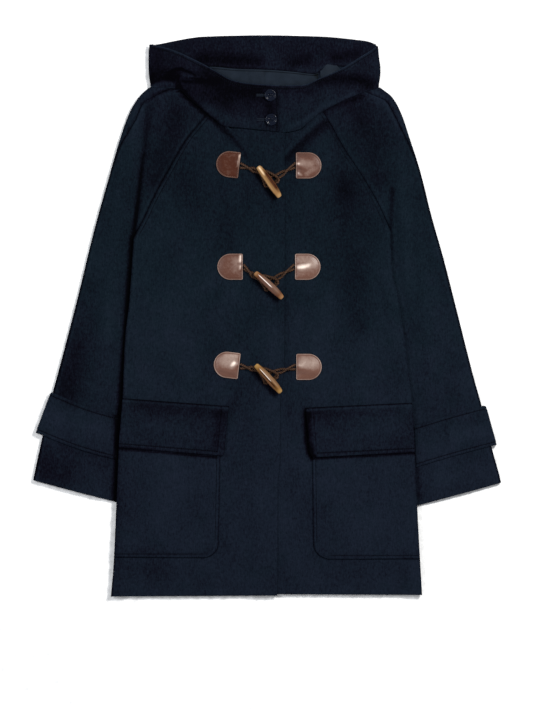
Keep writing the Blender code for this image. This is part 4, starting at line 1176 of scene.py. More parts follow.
def make_hood_side(side, wool, thread):
    """One side of the hood, from its folded edge to the lap at the throat."""
    out = outward(side)
    edge = HOOD_SIDE_X[side]
    turns = np.radians(np.arange(82, 9, -12))
    flat = abs((HOOD_LAP_X if side == "left" else UNDERLAP_X) - edge) - HOOD_CURL
    columns = Spread(flat, HOOD_SIDE_SPACING[0], low=NO_STEPS, high=steps(LAP_STITCH))
    inset = np.concatenate((HOOD_CURL * (1 - np.sin(turns)), HOOD_CURL + columns.along(flat)))
    drop = np.concatenate((HOOD_CURL * (1 - np.cos(turns)), np.zeros(len(columns.offset))))
    rows = Spread(HOOD_SIDE_LENGTH, HOOD_SIDE_SPACING[1], high=steps(RIM_STITCH))
    x = edge - out * inset
    y = mix(HOOD_FOOT[side](x), HOOD_RIM[side](x), rows.shares()[:, None])
    x = x + hood_bow(side, inset, y)
    joined = rise(np.abs(x[0]), 66, 60)
    seams = [("row", rows.from_high(RIM_STITCH), 1)]
    if side == "left":
        joined = np.maximum(joined, rise(x[0], -144, -152))
        seams.append(("column", len(turns) + columns.from_high(LAP_STITCH), 1))
    cloth(
        "hood_panel_" + side, grid_of(x, y, hood_top(side, x, y) - drop), wool, replaces="hood_" + side,
        seams=seams, thread=thread,
        sewn=[("row", 0, 1.6 * joined, 0)], shades=HOOD_SHADES[side],
    )


def make_rim_roll(side, wool):
    """The turned edge of the hood's opening, a thin roll along its rim."""
    edge = HOOD_SIDE_X[side]
    start, end = edge - outward(side) * ROLL_INSET, HOOD_LAP_X if side == "left" else ROLL_END_X
    x = np.linspace(start, end, 90)
    y = HOOD_RIM[side](x)
    x = x + hood_bow(side, np.abs(edge - x), y)
    route = [Vector(p) for p in zip(x, y + 0.1, hood_top(side, x, y) - ROLL_RADIUS)]
    # The roll carries a painted highlight.
    tube("hood_rim_" + side, route, wool, None, ROLL_RADIUS, shade=ROLL_PAINTED_HIGHLIGHT)


def make_hood_back(wool):
    """The hood's back, its inner face up, turned down over the folded crown at the top."""
    columns, rows = spreads("hood_back", along=(EDGE_STEPS, NO_STEPS))
    turns = np.radians((0, 12, 24, 36, 48, 60, 70, 80))[:, None]
    x = HOOD_BACK_X[0] + columns.along(columns.longest)[None, :]
    low, high = BACK_NECK(x) + NECK_HALF_GAP, HOOD_TOP_ARC(x) - HOOD_CURL
    flat_y = mix(low, high, rows.shares()[:-1, None])
    fade = rise(high - flat_y, 0, 8) * rise(flat_y - low, -2, 6)
    flat_z = fade * (relief(x, flat_y, HOOD_BACK_FOLDS) + ripple(x, flat_y, 1.2))
    turn_z = -HOOD_CURL * (1 - np.cos(turns)) + 0 * x
    y = np.concatenate((flat_y, high + HOOD_CURL * np.sin(turns)))
    sunk = HOOD_BACK_SINK * rise(np.abs(x - HOOD_BACK_MIDDLE), *HOOD_BACK_ENDS)
    z = BACK_NECK_LIFT + WOOL + np.concatenate((flat_z, turn_z)) - sunk
    cloth(
        "hood_back_panel", grid_of(x, y, z), wool, replaces="hood_back",
        sewn=[("row", 0, 1, 0.6)], shades=HOOD_BACK_SHADES,
    )


CROWN_CORNER = 6
CROWN_INSET = WOOL + 0.8


def crown_outline(left, right, low):
    """The folded crown's outline, from the right end of its upper edge round to the start."""
    upper = np.linspace(right - CROWN_CORNER - 1, left + CROWN_CORNER + 1, 60)
    outline = [(x, float(HOOD_TOP_ARC(x)) - CROWN_INSET) for x in upper]
    left, right = left + CROWN_CORNER, right - CROWN_CORNER
    high_left, high_right = outline[-1][1] - CROWN_CORNER, outline[0][1] - CROWN_CORNER
    low += CROWN_CORNER
    for x, y, start in ((left, high_left, 90), (left, low, 180), (right, low, 270), (right, high_right, 0)):
        for turn in np.radians((start + 15, start + 35, start + 55, start + 75)):
            outline.append((x + CROWN_CORNER * math.cos(turn), y + CROWN_CORNER * math.sin(turn)))
        if start == 180:
            outline += [(x, low - CROWN_CORNER) for x in np.linspace(left + 6, right - 6, 40)]
    return np.array(outline)


def make_crown(wool):
    """The hood's crown, folded under: one rounded solid with a groove between its layers."""
    left, right = HOOD_SIDE_X["left"] + CROWN_INSET, HOOD_SIDE_X["right"] - CROWN_INSET
    points = crown_outline(left, right, SHOULDER_Y + 0.8)
    tangent = np.roll(points, -1, axis=0) - np.roll(points, 1, axis=0)
    tangent /= np.linalg.norm(tangent, axis=1, keepdims=True)
    inward = np.stack((-tangent[:, 1], tangent[:, 0]), axis=-1)
    thinner = 1 - 0.25 * rise(np.abs(points[:, 0] - 0.5 * (left + right)), *HOOD_BACK_ENDS)
    half = CROWN_TOP / 4
    rings = []
    for centre in (half, 3 * half):
        for turn in np.radians(np.linspace(-90, 90, 9)):
            inset = half * (1 - math.cos(turn)) + 0.2
            height = (centre + half * math.sin(turn)) * thinner
            rings.append(np.column_stack((points + inward * inset, height)))
    faces = [face[::-1] for face in ring_faces(0, len(rings), len(points))]
    new_object("hood_crown_fold", np.concatenate(rings), faces, wool, "hood_crown")


def make_neck_lining(satin, thread):
    """The satin lining where it shows inside the back of the neck."""
    columns, rows = spreads("lining", along=(EDGE_STEPS, steps(LINING_STITCH)))
    x = LINING_CORNER[0] + columns.along(columns.longest)[None, :]
    y = mix(LINING_CORNER[1], BACK_NECK(x) - GAP, rows.shares()[:, None])
    pleats = -0.5 * (bell(x + 4, 1.6) + bell(x + 32, 1.6))
    waves = 0.35 * np.sin(x / 9 + 1.3 * np.sin(y / 17)) * rise(y, 372, 386)
    cloth(
        "neck_lining_panel", grid_of(x, y, neck_lift(y) + WOOL + GAP + LINING + pleats + waves), satin,
        "satin", "neck_lining", thickness=LINING, edge=THIN_EDGE, thread=thread, sewing=SATIN_SEWING,
        seams=[("row", rows.from_high(LINING_STITCH), 1)], channel=0.3, shades=LINING_SHADES,
    )


def make_facing(satin):
    """The corner of the hood's facing that shows beside the lining."""
    columns, rows = spreads("facing")
    across, up = columns.shares()[None, :], rows.shares()[:, None]
    top = FACING_FOOT_Y + 22 + 11 * ease(across * 3) - 9 * rise(across, 0.65, 1)
    waves = 1.2 * np.sin(across * 4 + up * 2) * ease(up * 3)
    z = BACK_NECK_LIFT + WOOL + GAP + LINING + waves
    grid = grid_of(mix(*FACING_X, across), mix(FACING_FOOT_Y, top, up), z)
    cloth("hood_facing", grid, satin, "satin", thickness=LINING, edge=THIN_EDGE, shades=LINING_SHADES)


def make_gusset(side, wool):
    """A strip inside the underarm, behind the opening where sleeve, front and back meet."""
    columns, rows = spreads("gusset")
    y = UNDERARM_Y[side] - GUSSET_DROP + rows.along(rows.longest)[:, None]
    across = columns.along(columns.longest) - columns.longest / 2
    grid = grid_of(front_side_x(side, y) + outward(side) * across, y, GUSSET_TOP)
    cloth("underarm_gusset_" + side, grid, wool, thickness=GUSSET_THICKNESS)


def make_neck_corner(side, wool):
    """The inner layer of the hood's corner, beside the shoulder and under the hood's side."""
    columns, rows = spreads("neck_corner")
    x = HOOD_SIDE_X[side] - outward(side) * (NECK_CORNER_INSET + columns.along(columns.longest))
    y = SHOULDER_Y + NECK_CORNER_RISE + rows.along(rows.longest)[:, None]
    cloth("neck_corner_" + side, grid_of(x, y, NECK_CORNER_TOP), wool)


# ---------------------------------------------------------------- cords, patches and toggles


def tube(name, route, look, replaces, radius, strands=1, offset=0, pitch=1, shade=0):
    """Round strands along a route, twisted round each other where there is more than one."""
    ring = circle(8)
    steps_along = [0] + [(b - a).length for a, b in zip(route, route[1:])]
    turns = math.tau * np.cumsum(steps_along) / pitch
    points, faces = [], []
    for strand in range(strands):
        faces += ring_faces(len(points), len(route), len(ring))
        ahead = math.tau * strand / strands
        for (here, across, up), turn in zip(carried_frames(route), turns + ahead):
            centre = here + offset * (across * math.cos(turn) + up * math.sin(turn))
            points += [centre + radius * (across * c + up * s) for c, s in ring]
    new_object(name, [tuple(p) for p in points], faces, look, replaces, shade)


def carried_frames(route):
    """Each point of a route with two directions across it, turned as little as possible."""
    frames = []
    across = None
    for i, here in enumerate(route):
        along = (route[min(i + 1, len(route) - 1)] - route[max(i - 1, 0)]).normalized()
        if across is None:
            across = along.cross(Vector((0, 0, 1))).normalized()
        across = (across - across.dot(along) * along).normalized()
        frames.append((here, across, along.cross(across)))
    return frames


def smooth_route(points, per_span=12):
    """Points along a smooth curve through the route's own points."""
    p = [Vector(q) for q in points]
    p = [p[0] * 2 - p[1]] + p + [p[-1] * 2 - p[-2]]
    route = []
    for a, b, c, d in zip(p, p[1:], p[2:], p[3:]):
        for t in (k / per_span for k in range(per_span)):
            bend = (2 * a - 5 * b + 4 * c - d) * t * t + (3 * b - a - 3 * c + d) * t ** 3
            route.append(0.5 * (2 * b + (c - a) * t + bend))
    return route + [p[-2]]


def cord_point(place, lift):
    """A point of a cord's centre line that lies on the fronts, or lifted off them."""
    x, y = place
    past_edge = float(rise(x - FRONT_EDGE(y), *CORD_STEP))
    under = FRONT_TOP + float(lap("left", x)) * (1 - past_edge) + float(body_relief(x, y))
    return Vector((x, y, under + CORD_CLEARANCE + CORD / 2 + lift * (CORD + GAP)))


def cord_route(patch_edge, edge_turn, toggle, angle, ends, cross_share):
    """A doubled cord's route: out of a patch, across itself, round under the toggle and back."""
    spin = Matrix.Rotation(math.radians(angle + 180), 2)
    under = [
        cord_point(Vector(toggle) + spin @ Vector((along, -across)), lift) for along, across, lift in ends
    ]
    start = Vector(patch_edge)
    throat = (under[0].xy + under[-1].xy) / 2
    cross = start.lerp(throat, cross_share)
    ahead = (throat - cross).normalized()
    aside = Vector((-ahead.y, ahead.x)) * CORD_APART
    spread = Matrix.Rotation(math.radians(edge_turn), 2) @ Vector((0, CORD_SPREAD))
    first_side = under[0].xy - throat
    if aside.dot(first_side) < 0:
        aside = -aside
    if spread.dot(first_side) > 0:
        spread = -spread
    middle = cross.lerp(throat, 0.5)
    way_in = ((start + spread, 0), (cross, 0), (middle + aside, 0))
    way_out = ((middle - aside, 0), (cross, 1.05), (start - spread, 0))
    return [cord_point(*p) for p in way_in] + under + [cord_point(*p) for p in way_out]


def make_cord(name, points, node, look):
    tube(name, smooth_route(points), look, node, STRAND_RADIUS, 2, STRAND_OFFSET, STRAND_PITCH)


PATCH_EDGE_SHARES = (0, 0.02, 0.045, 0.075, 0.11, 0.145)
PATCH_NEAR_EDGE = (0, 0.12, 0.35, 0.8, 1.2, 1.7, 2.3, 3)
PATCH_TURNS = (*np.linspace(0, 66, 15), 69, 72, 75, 78, 81, 84, 86.5, 88.5)


def patch_rim(u, v, straight):
    """Distance from a patch's edge: u in from its straight edge, v up from its middle."""
    half = PATCH_HEIGHT / 2
    return np.minimum(u, half - np.hypot(np.maximum(u - straight, 0), v))


def patch_height(u, v, straight):
    """How the leather rises over its front: puffed, with a rim, a stitched line and the cord."""
    rim = patch_rim(u, v, straight)
    puff = 1.1 * ease(rim / 11) + 0.35 * bell(rim - 1.1, 0.8) - 0.3 * bell(rim - PATCH_STITCH, 0.7)
    cord = 1.5 * bell(v, 4.2) * rise(u, 17, 0)
    return puff + cord - 0.5 * bell(v - 0.25 * u + 2, 1.5) * rise(u, 19, 0)


def make_patch(name, node, side, x, y, turn, width, glints, leather, thread):
    """A leather patch, straight towards the middle and round away from it, a little puffed."""
    half = PATCH_HEIGHT / 2
    straight = width - half
    spin = Matrix.Rotation(math.radians(turn), 2)

    def place(u, v):
        px = x + spin[0][0] * outward(side) * u + spin[0][1] * v
        py = y + spin[1][0] * outward(side) * u + spin[1][1] * v
        return grid_of(px, py, front_top(side, px, py) + LEATHER + GAP + patch_height(u, v, straight))

    share = Spread(2, 0.07, PATCH_EDGE_SHARES, PATCH_EDGE_SHARES).along(2)[:, None] - 1
    turns = np.radians(PATCH_TURNS)
    inset = (PATCH_NEAR_EDGE, np.linspace(4.2, straight - 2, 9), straight + half * np.sin(turns))
    inset = np.concatenate(inset)
    corner = rounded_corner(PATCH_CORNER, inset)
    reach = np.concatenate((np.full(len(inset) - len(turns), half), half * np.cos(turns))) - corner
    u, v = inset + 0 * share, reach * share
    rim = patch_rim(u, v, straight)
    # Painted glints, a painted highlight along the raised rim and painted shade in the stitched groove.
    painted_light = relief(u, v, glints) + 0.2 * bell(rim - 0.8, 0.8) - 0.2 * bell(rim - PATCH_STITCH, 0.8)
    cloth(name, place(u, v), leather, "leather", node, thickness=LEATHER, edge=0.9, painted_light=painted_light)
    start = half - PATCH_STITCH
    bend = np.radians(np.linspace(90, -90, 40))
    side_u = np.linspace(PATCH_STITCH, straight, 8)
    u = np.concatenate((np.full(12, PATCH_STITCH), side_u, straight + start * np.cos(bend), side_u[::-1]))
    v = (np.linspace(-start, start, 12), np.full(8, start), start * np.sin(bend), np.full(8, -start))
    v = np.concatenate(v)
    path = straight_up(place(u, v) - (0, 0, 0.12))
    stitches(name + "_stitches", [path], thread, "leather", *LEATHER_SEWING)


def toggle_stations(half):
    """Places along a toggle, each with its radius: blunt ends, a swollen middle, a shallow waist."""
    end = [(-half, 0), (-half, 2), (-half + 0.25, 2.8), (-half + 0.9, 3.5)]
    middle = []
    for t in np.linspace(-0.94, 0.94, 31):
        swell = TOGGLE_RADIUS * (1.04 - 0.42 * abs(t) ** 2.1)
        middle.append((t * half, swell - 0.35 * bell(t, 0.16)))
    return end + middle + [(-along, radius) for along, radius in end[::-1]]


def make_toggle(name, node, x, y, angle, look):
    """A horn toggle: tapered, blunt, a little bent, flattened and uneven."""
    half = TOGGLE_LENGTH / 2
    sides = 28
    stations = toggle_stations(half)
    points = []
    for along, radius in stations:
        bow = 1.1 * (1 - (along / half) ** 2) - 0.6
        for k, (c, s) in enumerate(circle(sides)):
            turn = math.tau * k / sides
            uneven = 0.025 * math.sin(2 * turn + along / 9) + 0.02 * math.sin(3 * turn - along / 5)
            r = max(radius, 0.01) * (1 + uneven)
            points.append((along, r * c + bow, r * s * TOGGLE_FLATNESS))
    item = new_object(name, points, ring_faces(0, len(stations), sides), look, node)
    place = Vector((x, y, TOGGLE_Z + float(body_relief(x, y)) * 0.5)) * MM
    item.matrix_world = Matrix.Translation(place) @ Matrix.Rotation(math.radians(angle), 4, "Z")


def make_fastening(i, looks):
    """One row of the front: two patches, a toggle, its cord and the loop round it."""
    row = FASTENINGS[i]
    number = "_%d" % (i + 1)
    left_x, left_y, left_turn, _ = row["left"]
    right_x, right_y = row["right"]
    x, y, angle = row["toggle"]
    for side, patch in (("left", row["left"]), ("right", (right_x, right_y, 0, PATCH_WIDTH))):
        make_patch(
            "leather_" + side + number, "patch_" + side + number, side, *patch, PATCH_GLINTS[side][i],
            looks["leather_" + side][i], looks["leather_thread"],
        )
    make_toggle("horn_toggle" + number, "toggle" + number, x, y, angle, looks["horn"][i])
    tie = cord_route((left_x + PATCH_CLEARANCE, left_y), left_turn, (x, y), angle, TOGGLE_CORD_ROUTE, 0.5)
    loop = cord_route((right_x - PATCH_CLEARANCE, right_y), 0, (x, y), angle, LOOP_CORD_ROUTE, 0.45)
    make_cord("tie_strands" + number, tie, "toggle_cord" + number, looks["cord"])
    make_cord("loop_strands" + number, loop, "loop_cord" + number, looks["cord"])


# ---------------------------------------------------------------- throat buttons

BUTTON_SIDES = 56
HOLE_PLACE = 2.1
HOLE_DEPTH = 1.5
DISH_SHARE = 0.6
# Ends of a buttonhole and of the stitches on both sides of it, from its button's middle.
BUTTONHOLE_X = (-22.5, -8.8)
BUTTONHOLE_Y = ((-2.2, -0.25), (0.25, 2.2))
BUTTONHOLE_PITCH = 0.78
# Share of the radius and depth below the top, from the dish over the rim to the underside.
BUTTON_PROFILE = (
    (0.64, 1.25), (0.69, 0.9), (0.74, 0.4), (0.8, 0.1), (0.86, 0), (0.92, 0.15), (0.965, 0.6),
    (0.99, 1.2), (1, 1.8), (0.97, 2.6), (0.88, 3.2), (0.7, 3.7), (0.5, 3.9), (0, 3.9),
)


def button_points(holes):
    """Rings of a four-hole button with a dished middle, a raised rim and a rounded underside."""
    half = BUTTON_DIAMETER / 2
    dish = [(0, 1.3)] + [(r, 1.3) for r in np.arange(0.35, half * DISH_SHARE, 0.35)]
    points = []
    for radius, depth in dish + [(half * share, depth) for share, depth in BUTTON_PROFILE]:
        for c, s in circle(BUTTON_SIDES):
            sunk = depth
            if depth < HOLE_DEPTH and radius < half * DISH_SHARE:
                near = min(math.hypot(radius * c - a, radius * s - b) for a, b in holes)
                sunk += HOLE_DEPTH * float(rise(near, 1.35, 0.9))
            points.append((radius * c, radius * s, BUTTON_THICKNESS - sunk))
    return points


def make_button(i, x, y, looks):
    """A button that lies on the hood's slope, sewn on with crossed thread."""
    number = "_%d" % (i + 1)
    holes = [(HOLE_PLACE * a, HOLE_PLACE * b) for a in (-1, 1) for b in (-1, 1)]
    points = button_points(holes)
    faces = ring_faces(0, len(points) // BUTTON_SIDES, BUTTON_SIDES, capped=False)
    item = new_object("throat_button" + number, points, faces, looks["button"], "button" + number)
    tidy = bmesh.new()
    tidy.from_mesh(item.data)
    bmesh.ops.remove_doubles(tidy, verts=tidy.verts, dist=1e-7)
    tidy.to_mesh(item.data)
    tidy.free()
    item.data.shade_smooth()
    slope, tilt = (
        math.atan((hood_top("left", x + dx, y + dy) - hood_top("left", x - dx, y - dy)) / 12)
        for dx, dy in ((0, 6), (6, 0))
    )
    place = Vector((x, y, float(hood_top("left", x, y)) + BUTTON_CLEARANCE)) * MM
    item.matrix_world = (
        Matrix.Translation(place) @ Matrix.Rotation(slope, 4, "X") @ Matrix.Rotation(-tilt, 4, "Y")
    )
    paths = []
    for start, end in ((holes[0], holes[3]), (holes[1], holes[2])):
        path = np.linspace((*start, BUTTON_THICKNESS - 1.4), (*end, BUTTON_THICKNESS - 1.4), 9)
        path[:, 2] += 0.9 * np.sin(np.linspace(0, math.pi, 9))
        paths.append(straight_up(path))
    thread = stitches("button_thread" + number, paths, looks["thread"], "button", *BUTTON_SEWING)
    thread.matrix_world = item.matrix_world


def make_buttonhole(i, x, y, look):
    """A worked buttonhole: short stitches close together on both sides of its slit."""
    paths = []
    start, end = BUTTONHOLE_X
    for at_x in np.arange(x + start, x + end, BUTTONHOLE_PITCH):
        for low, high in BUTTONHOLE_Y:
            ys = np.linspace(y + low, y + high, 4)
            paths.append(straight_up(grid_of(at_x, ys, hood_top("left", at_x, ys) + 0.1)))
    stitches("buttonhole_%d" % (i + 1), paths, look, "wool", *BUTTONHOLE_SEWING, margin=0.05)


# ---------------------------------------------------------------- materials

BLACK, GREY, WHITE = (0, 0, 0), (0.55, 0.55, 0.55), (1, 1, 1)


class Look:
    """A material under construction: its nodes are added one by one and linked."""

    def __init__(self, name, colour, **sockets):
        self.material = bpy.data.materials.new(name)
        self.material.use_nodes = True
        self.material.diffuse_color = (*colour, 1)
        self.tree = self.material.node_tree
        self.shader = self.tree.nodes["Principled BSDF"]
        self.feed(self.shader, Base_Color=colour, **sockets)
        self.place = self.add("TexCoord", "Object")

    def feed(self, node, *numbered, **named):
        """Link sockets to a node's inputs, and set numbers and colours there."""
        for key, source in [*numbered, *named.items()]:
            target = node.inputs[key.replace("_", " ") if isinstance(key, str) else key]
            if isinstance(source, bpy.types.NodeSocket):
                self.tree.links.new(source, target)
            else:
                target.default_value = (*source, 1) if target.type == "RGBA" else source

    def add(self, kind, output, settings=(), *numbered, **named):
        """Add a node with (name, value) settings and these inputs. Returns one of its outputs."""
        node = self.tree.nodes.new("ShaderNode" + kind)
        for key, value in settings:
            setattr(node, key, value)
        self.feed(node, *numbered, **named)
        return node.outputs[output]

    def tone_and_painted_light(self):
        """The tone that each mesh carries: painted shade and light, such as shadows and glints."""
        return self.add("Attribute", "Fac", [("attribute_name", "tone_and_painted_light")])

    def axis(self, name):
        """The place on the piece along one axis."""
        return self.add("SeparateXYZ", name, Vector=self.place)

    def scaled(self, scale, turn=0):
        """The place on the piece, stretched by a scale along each axis."""
        return self.add("Mapping", "Vector", Vector=self.place, Scale=scale, Rotation=(0, 0, turn))

    def noise(self, scale, detail=2, roughness=0.55, place=None, distortion=0):
        return self.add(
            "TexNoise", "Fac", Vector=place or self.place, Scale=scale, Detail=detail,
            Roughness=roughness, Distortion=distortion,
        )

    def ramp(self, fac, *stops):
        """A colour ramp through (position, colour) stops."""
        colour = self.add("ValToRGB", "Color", Fac=fac)
        ends = colour.node.color_ramp.elements
        for position, _ in stops[2:]:
            ends.new(position)
        for end, (position, stop) in zip(sorted(ends, key=lambda e: e.position), sorted(stops)):
            end.position, end.color = position, (*stop, 1)
        return colour

    def value(self, fac, low, high, from_low=0.3, from_high=0.7):
        """A number that goes from low to high as fac goes between its own two limits."""
        limits = dict(From_Min=from_low, From_Max=from_high, To_Min=low, To_Max=high)
        return self.add("MapRange", "Result", Value=fac, **limits)

    def total(self, a, b):
        return self.add("Math", "Value", [("operation", "ADD")], (0, a), (1, b))

    def uneven(self, fac, *causes):
        """A number made uneven by textures, each by its own amount either way."""
        for cause, amount in causes:
            fac = self.total(fac, self.value(cause, -amount, amount))
        return fac

    def blend(self, a, b, fac, kind="MIX"):
        settings = (("data_type", "RGBA"), ("blend_type", kind))
        return self.add("Mix", 2, settings, (6, a), (7, b), Factor=fac)

    def bump(self, height, strength, distance, **after):
        return self.add("Bump", "Normal", Height=height, Strength=strength, Distance=distance * MM, **after)

    def done(self, **sockets):
        self.feed(self.shader, **sockets)
        return self.material


def wool_look(name, turn=0):
    """Napped wool coating: brushed fibres, clouds of lighter and darker nap, and painted light and shade.
    """
    look = Look(
        name, (0.004, 0.007, 0.012), Sheen_Weight=0.05, Sheen_Roughness=0.35,
        Sheen_Tint=(0.3, 0.48, 0.8), Specular_IOR_Level=0.01,
    )
    fibres = look.noise(620, 4, 0.7, look.scaled((1, 0.22, 1), turn), 0.6)
    lint = look.noise(260, 3, 0.65)
    clouds = look.noise(16, 4, 0.6, look.scaled((1, 0.7, 1), turn))
    tone_and_painted_light = look.uneven(look.tone_and_painted_light(), (clouds, 0.08), (lint, 0.11), (fibres, 0.17))
    green = look.ramp(tone_and_painted_light, *[(at, colour) for at, colour, _ in WOOL_COLOURS])
    violet = look.ramp(tone_and_painted_light, *[(at, colour) for at, _, colour in WOOL_COLOURS])
    up = look.axis("Y")
    violet_share = look.uneven(
        look.total(look.value(up, *VIOLET_SKIRT), look.value(up, *VIOLET_YOKE)),
        (look.noise(30, 3, 0.6), 0.35),
    )
    return look.done(
        Base_Color=look.blend(green, violet, violet_share), Roughness=look.value(fibres, 0.78, 0.96),
        Normal=look.bump(lint, 0.35, 0.9, Normal=look.bump(fibres, 0.55, 0.5)),
    )


def halfway(dark, light, share=0.5):
    return tuple(mix(a, b, share) for a, b in zip(dark, light))


def satin_look(name, dark, light):
    """Smooth lining satin with a fine diagonal weave, darkened by painted shade."""
    look = Look(name, halfway(dark, light), Sheen_Weight=0.01, Specular_IOR_Level=0.02)
    diagonal = [("bands_direction", "DIAGONAL")]
    weave = look.add("TexWave", "Fac", diagonal, Vector=look.place, Scale=900, Distortion=0.6)
    shade = look.noise(60)
    # Painted shade that the mesh carries darkens the satin.
    painted_shade = look.ramp(look.tone_and_painted_light(), (0, BLACK), (0.5, WHITE))
    return look.done(
        Base_Color=look.blend(look.ramp(shade, (0.3, dark), (0.7, light)), painted_shade, 1, "MULTIPLY"),
        Roughness=look.value(shade, 0.46, 0.58), Normal=look.bump(weave, 0.2, 0.1),
    )


def leather_look(name, hide, gloss, shine):
    """Smooth finished leather: fine pebbled grain, darker in creases, with painted glints and painted
    shade.
    """
    dark, base, pale = HIDES[hide]
    look = Look(name, base, Specular_IOR_Level=shine)
    grain = look.add("TexVoronoi", "Distance", Vector=look.place, Scale=1100)
    creases = look.noise(300, 4, 0.65)
    # Painted glints and shade from the mesh, made uneven by mottling and creases.
    painted_glints_and_wear = look.uneven(look.tone_and_painted_light(), (look.noise(70, 4, 0.6), 0.05), (creases, 0.04))
    colour = look.ramp(painted_glints_and_wear, (0.2, dark), (0.5, base), (1, pale), (0.75, halfway(base, pale, 0.22)))
    return look.done(
        Base_Color=colour, Roughness=look.value(painted_glints_and_wear, gloss + 0.08, gloss - 0.06),
        Normal=look.bump(creases, 0.3, 0.35, Normal=look.bump(grain, 0.25, 0.12)),
    )


def horn_look(name, across, tips, deep, painted_highlight):
    """Polished horn, grown in layers: zones of colour across it, pale tips and one long painted highlight.

    across holds the zones from one side to the other, deep the colour of the rings near the ends,
    and painted_highlight its start, end, middle and width as shares of the toggle's size, and its colour.
    """
    start, end, middle, width, colour = painted_highlight
    look = Look(name, across[0][1], Roughness=0.4, Specular_IOR_Level=0.02)
    half_width, half_length = TOGGLE_RADIUS * MM, 0.5 * TOGGLE_LENGTH * MM
    veins = look.noise(1, 4, 0.6, look.scaled((26, 190, 190)), 0.8)
    fine = look.noise(1, 5, 0.7, look.scaled((70, 900, 900)))
    layer = look.value(look.axis("Y"), 0, 1, -half_width, half_width)
    along = look.value(look.axis("X"), 0, 1, -half_length, half_length)
    base = look.ramp(look.uneven(layer, (veins, 0.05)), *across)
    base = look.blend(base, look.ramp(fine, (0.3, (0.6, 0.52, 0.46)), (0.7, WHITE)), 0.4, "MULTIPLY")
    base = look.blend(base, deep, look.ramp(along, *HORN_RINGS))
    base = look.blend(base, tips, look.ramp(along, *HORN_TIPS))
    # A painted highlight: a pale streak along the toggle.
    wavy = look.uneven(layer, (veins, 0.015))
    highlight_across = look.ramp(wavy, (middle - width, BLACK), (middle, WHITE), (middle + 1.2 * width, BLACK))
    highlight_along = ((start - 0.04, BLACK), (start + 0.04, WHITE), (end - 0.1, WHITE), (end, BLACK))
    base = look.blend(base, colour, look.blend(BLACK, highlight_across, look.ramp(along, *highlight_along)))
    roughness = look.value(fine, 0.3, 0.45)
    return look.done(Base_Color=base, Roughness=roughness, Normal=look.bump(fine, 0.12, 0.12))


def cord_look(name, dark, light):
    """Waxed cotton cord: fibres along each strand and a little shine on its turns."""
    look = Look(name, halfway(dark, light), Roughness=0.5, Sheen_Weight=0, Specular_IOR_Level=0.15)
    fibres = look.noise(520, 3, 0.7)
    colour = look.ramp(fibres, (0.35, dark), (0.65, light))
    roughness = look.value(fibres, 0.4, 0.62)
    return look.done(Base_Color=colour, Roughness=roughness, Normal=look.bump(fibres, 0.5, 0.2))


def plain_look(name, colour, roughness, specular, grain=500):
    """A fine-grained finish for thread, buttons and the floor."""
    look = Look(name, colour, Roughness=roughness, Specular_IOR_Level=specular)
    speck = look.noise(grain, 3)
    deep, pale = (tuple(min(1, c * share) for c in colour) for share in (0.8, 1.25))
    colour = look.ramp(speck, (0.3, deep), (0.7, pale))
    return look.done(Base_Color=colour, Normal=look.bump(speck, 0.08, 0.05))


# Tone, mostly painted shade and light, and the wool's colour there, where it is greener
# and where it is more violet.
WOOL_COLOURS = (
    (0, (0.0007, 0.0008, 0.0014), (0.0008, 0.0007, 0.0015)),
    (0.25, (0.002, 0.0026, 0.005), (0.0026, 0.0025, 0.0056)),
    (0.5, (0.0036, 0.0071, 0.0112), (0.0053, 0.008, 0.0141)),
    (0.75, (0.0062, 0.0108, 0.0165), (0.0082, 0.0115, 0.0202)),
    (1, (0.01, 0.0155, 0.023), (0.0115, 0.0148, 0.025)),
)
# How violet the wool is at a low and a high place, and those two places in metres up the coat.
VIOLET_SKIRT = (1, 0.02, -0.25, 0.1)
VIOLET_YOKE = (0, 0.85, 0.26, 0.37)
# Creased, plain and pale colour of each hide; the pale one shows painted glints. The lighter hides
# are the same brown leather with painted gloss.
HIDES = {
    "brown": ((0.02, 0.006, 0.0035), (0.046, 0.014, 0.0078), (0.48, 0.36, 0.3)),
    "brown_painted_sheen": ((0.038, 0.0135, 0.0085), (0.079, 0.032, 0.021), (0.66, 0.53, 0.46)),
    "brown_painted_gloss": ((0.058, 0.022, 0.014), (0.104, 0.046, 0.031), (0.76, 0.64, 0.56)),
}
# Hide, gloss and shine of each patch, from the top row down.
PATCH_LEATHER = {
    "left": (("brown", 0.36, 0.04), ("brown_painted_sheen", 0.34, 0.15), ("brown_painted_gloss", 0.36, 0.22)),
    "right": (("brown_painted_sheen", 0.36, 0.16), ("brown_painted_gloss", 0.36, 0.24), ("brown_painted_gloss", 0.38, 0.2)),
}
# Where along a toggle its tips and its deeper rings show.
HORN_TIPS = ((0, WHITE), (0.14, BLACK), (0.87, BLACK), (1, WHITE))
HORN_RINGS = (
    (0, BLACK), (0.07, WHITE), (0.17, GREY), (0.28, BLACK), (0.74, BLACK), (0.86, GREY), (0.94, WHITE),
    (1, BLACK),
)
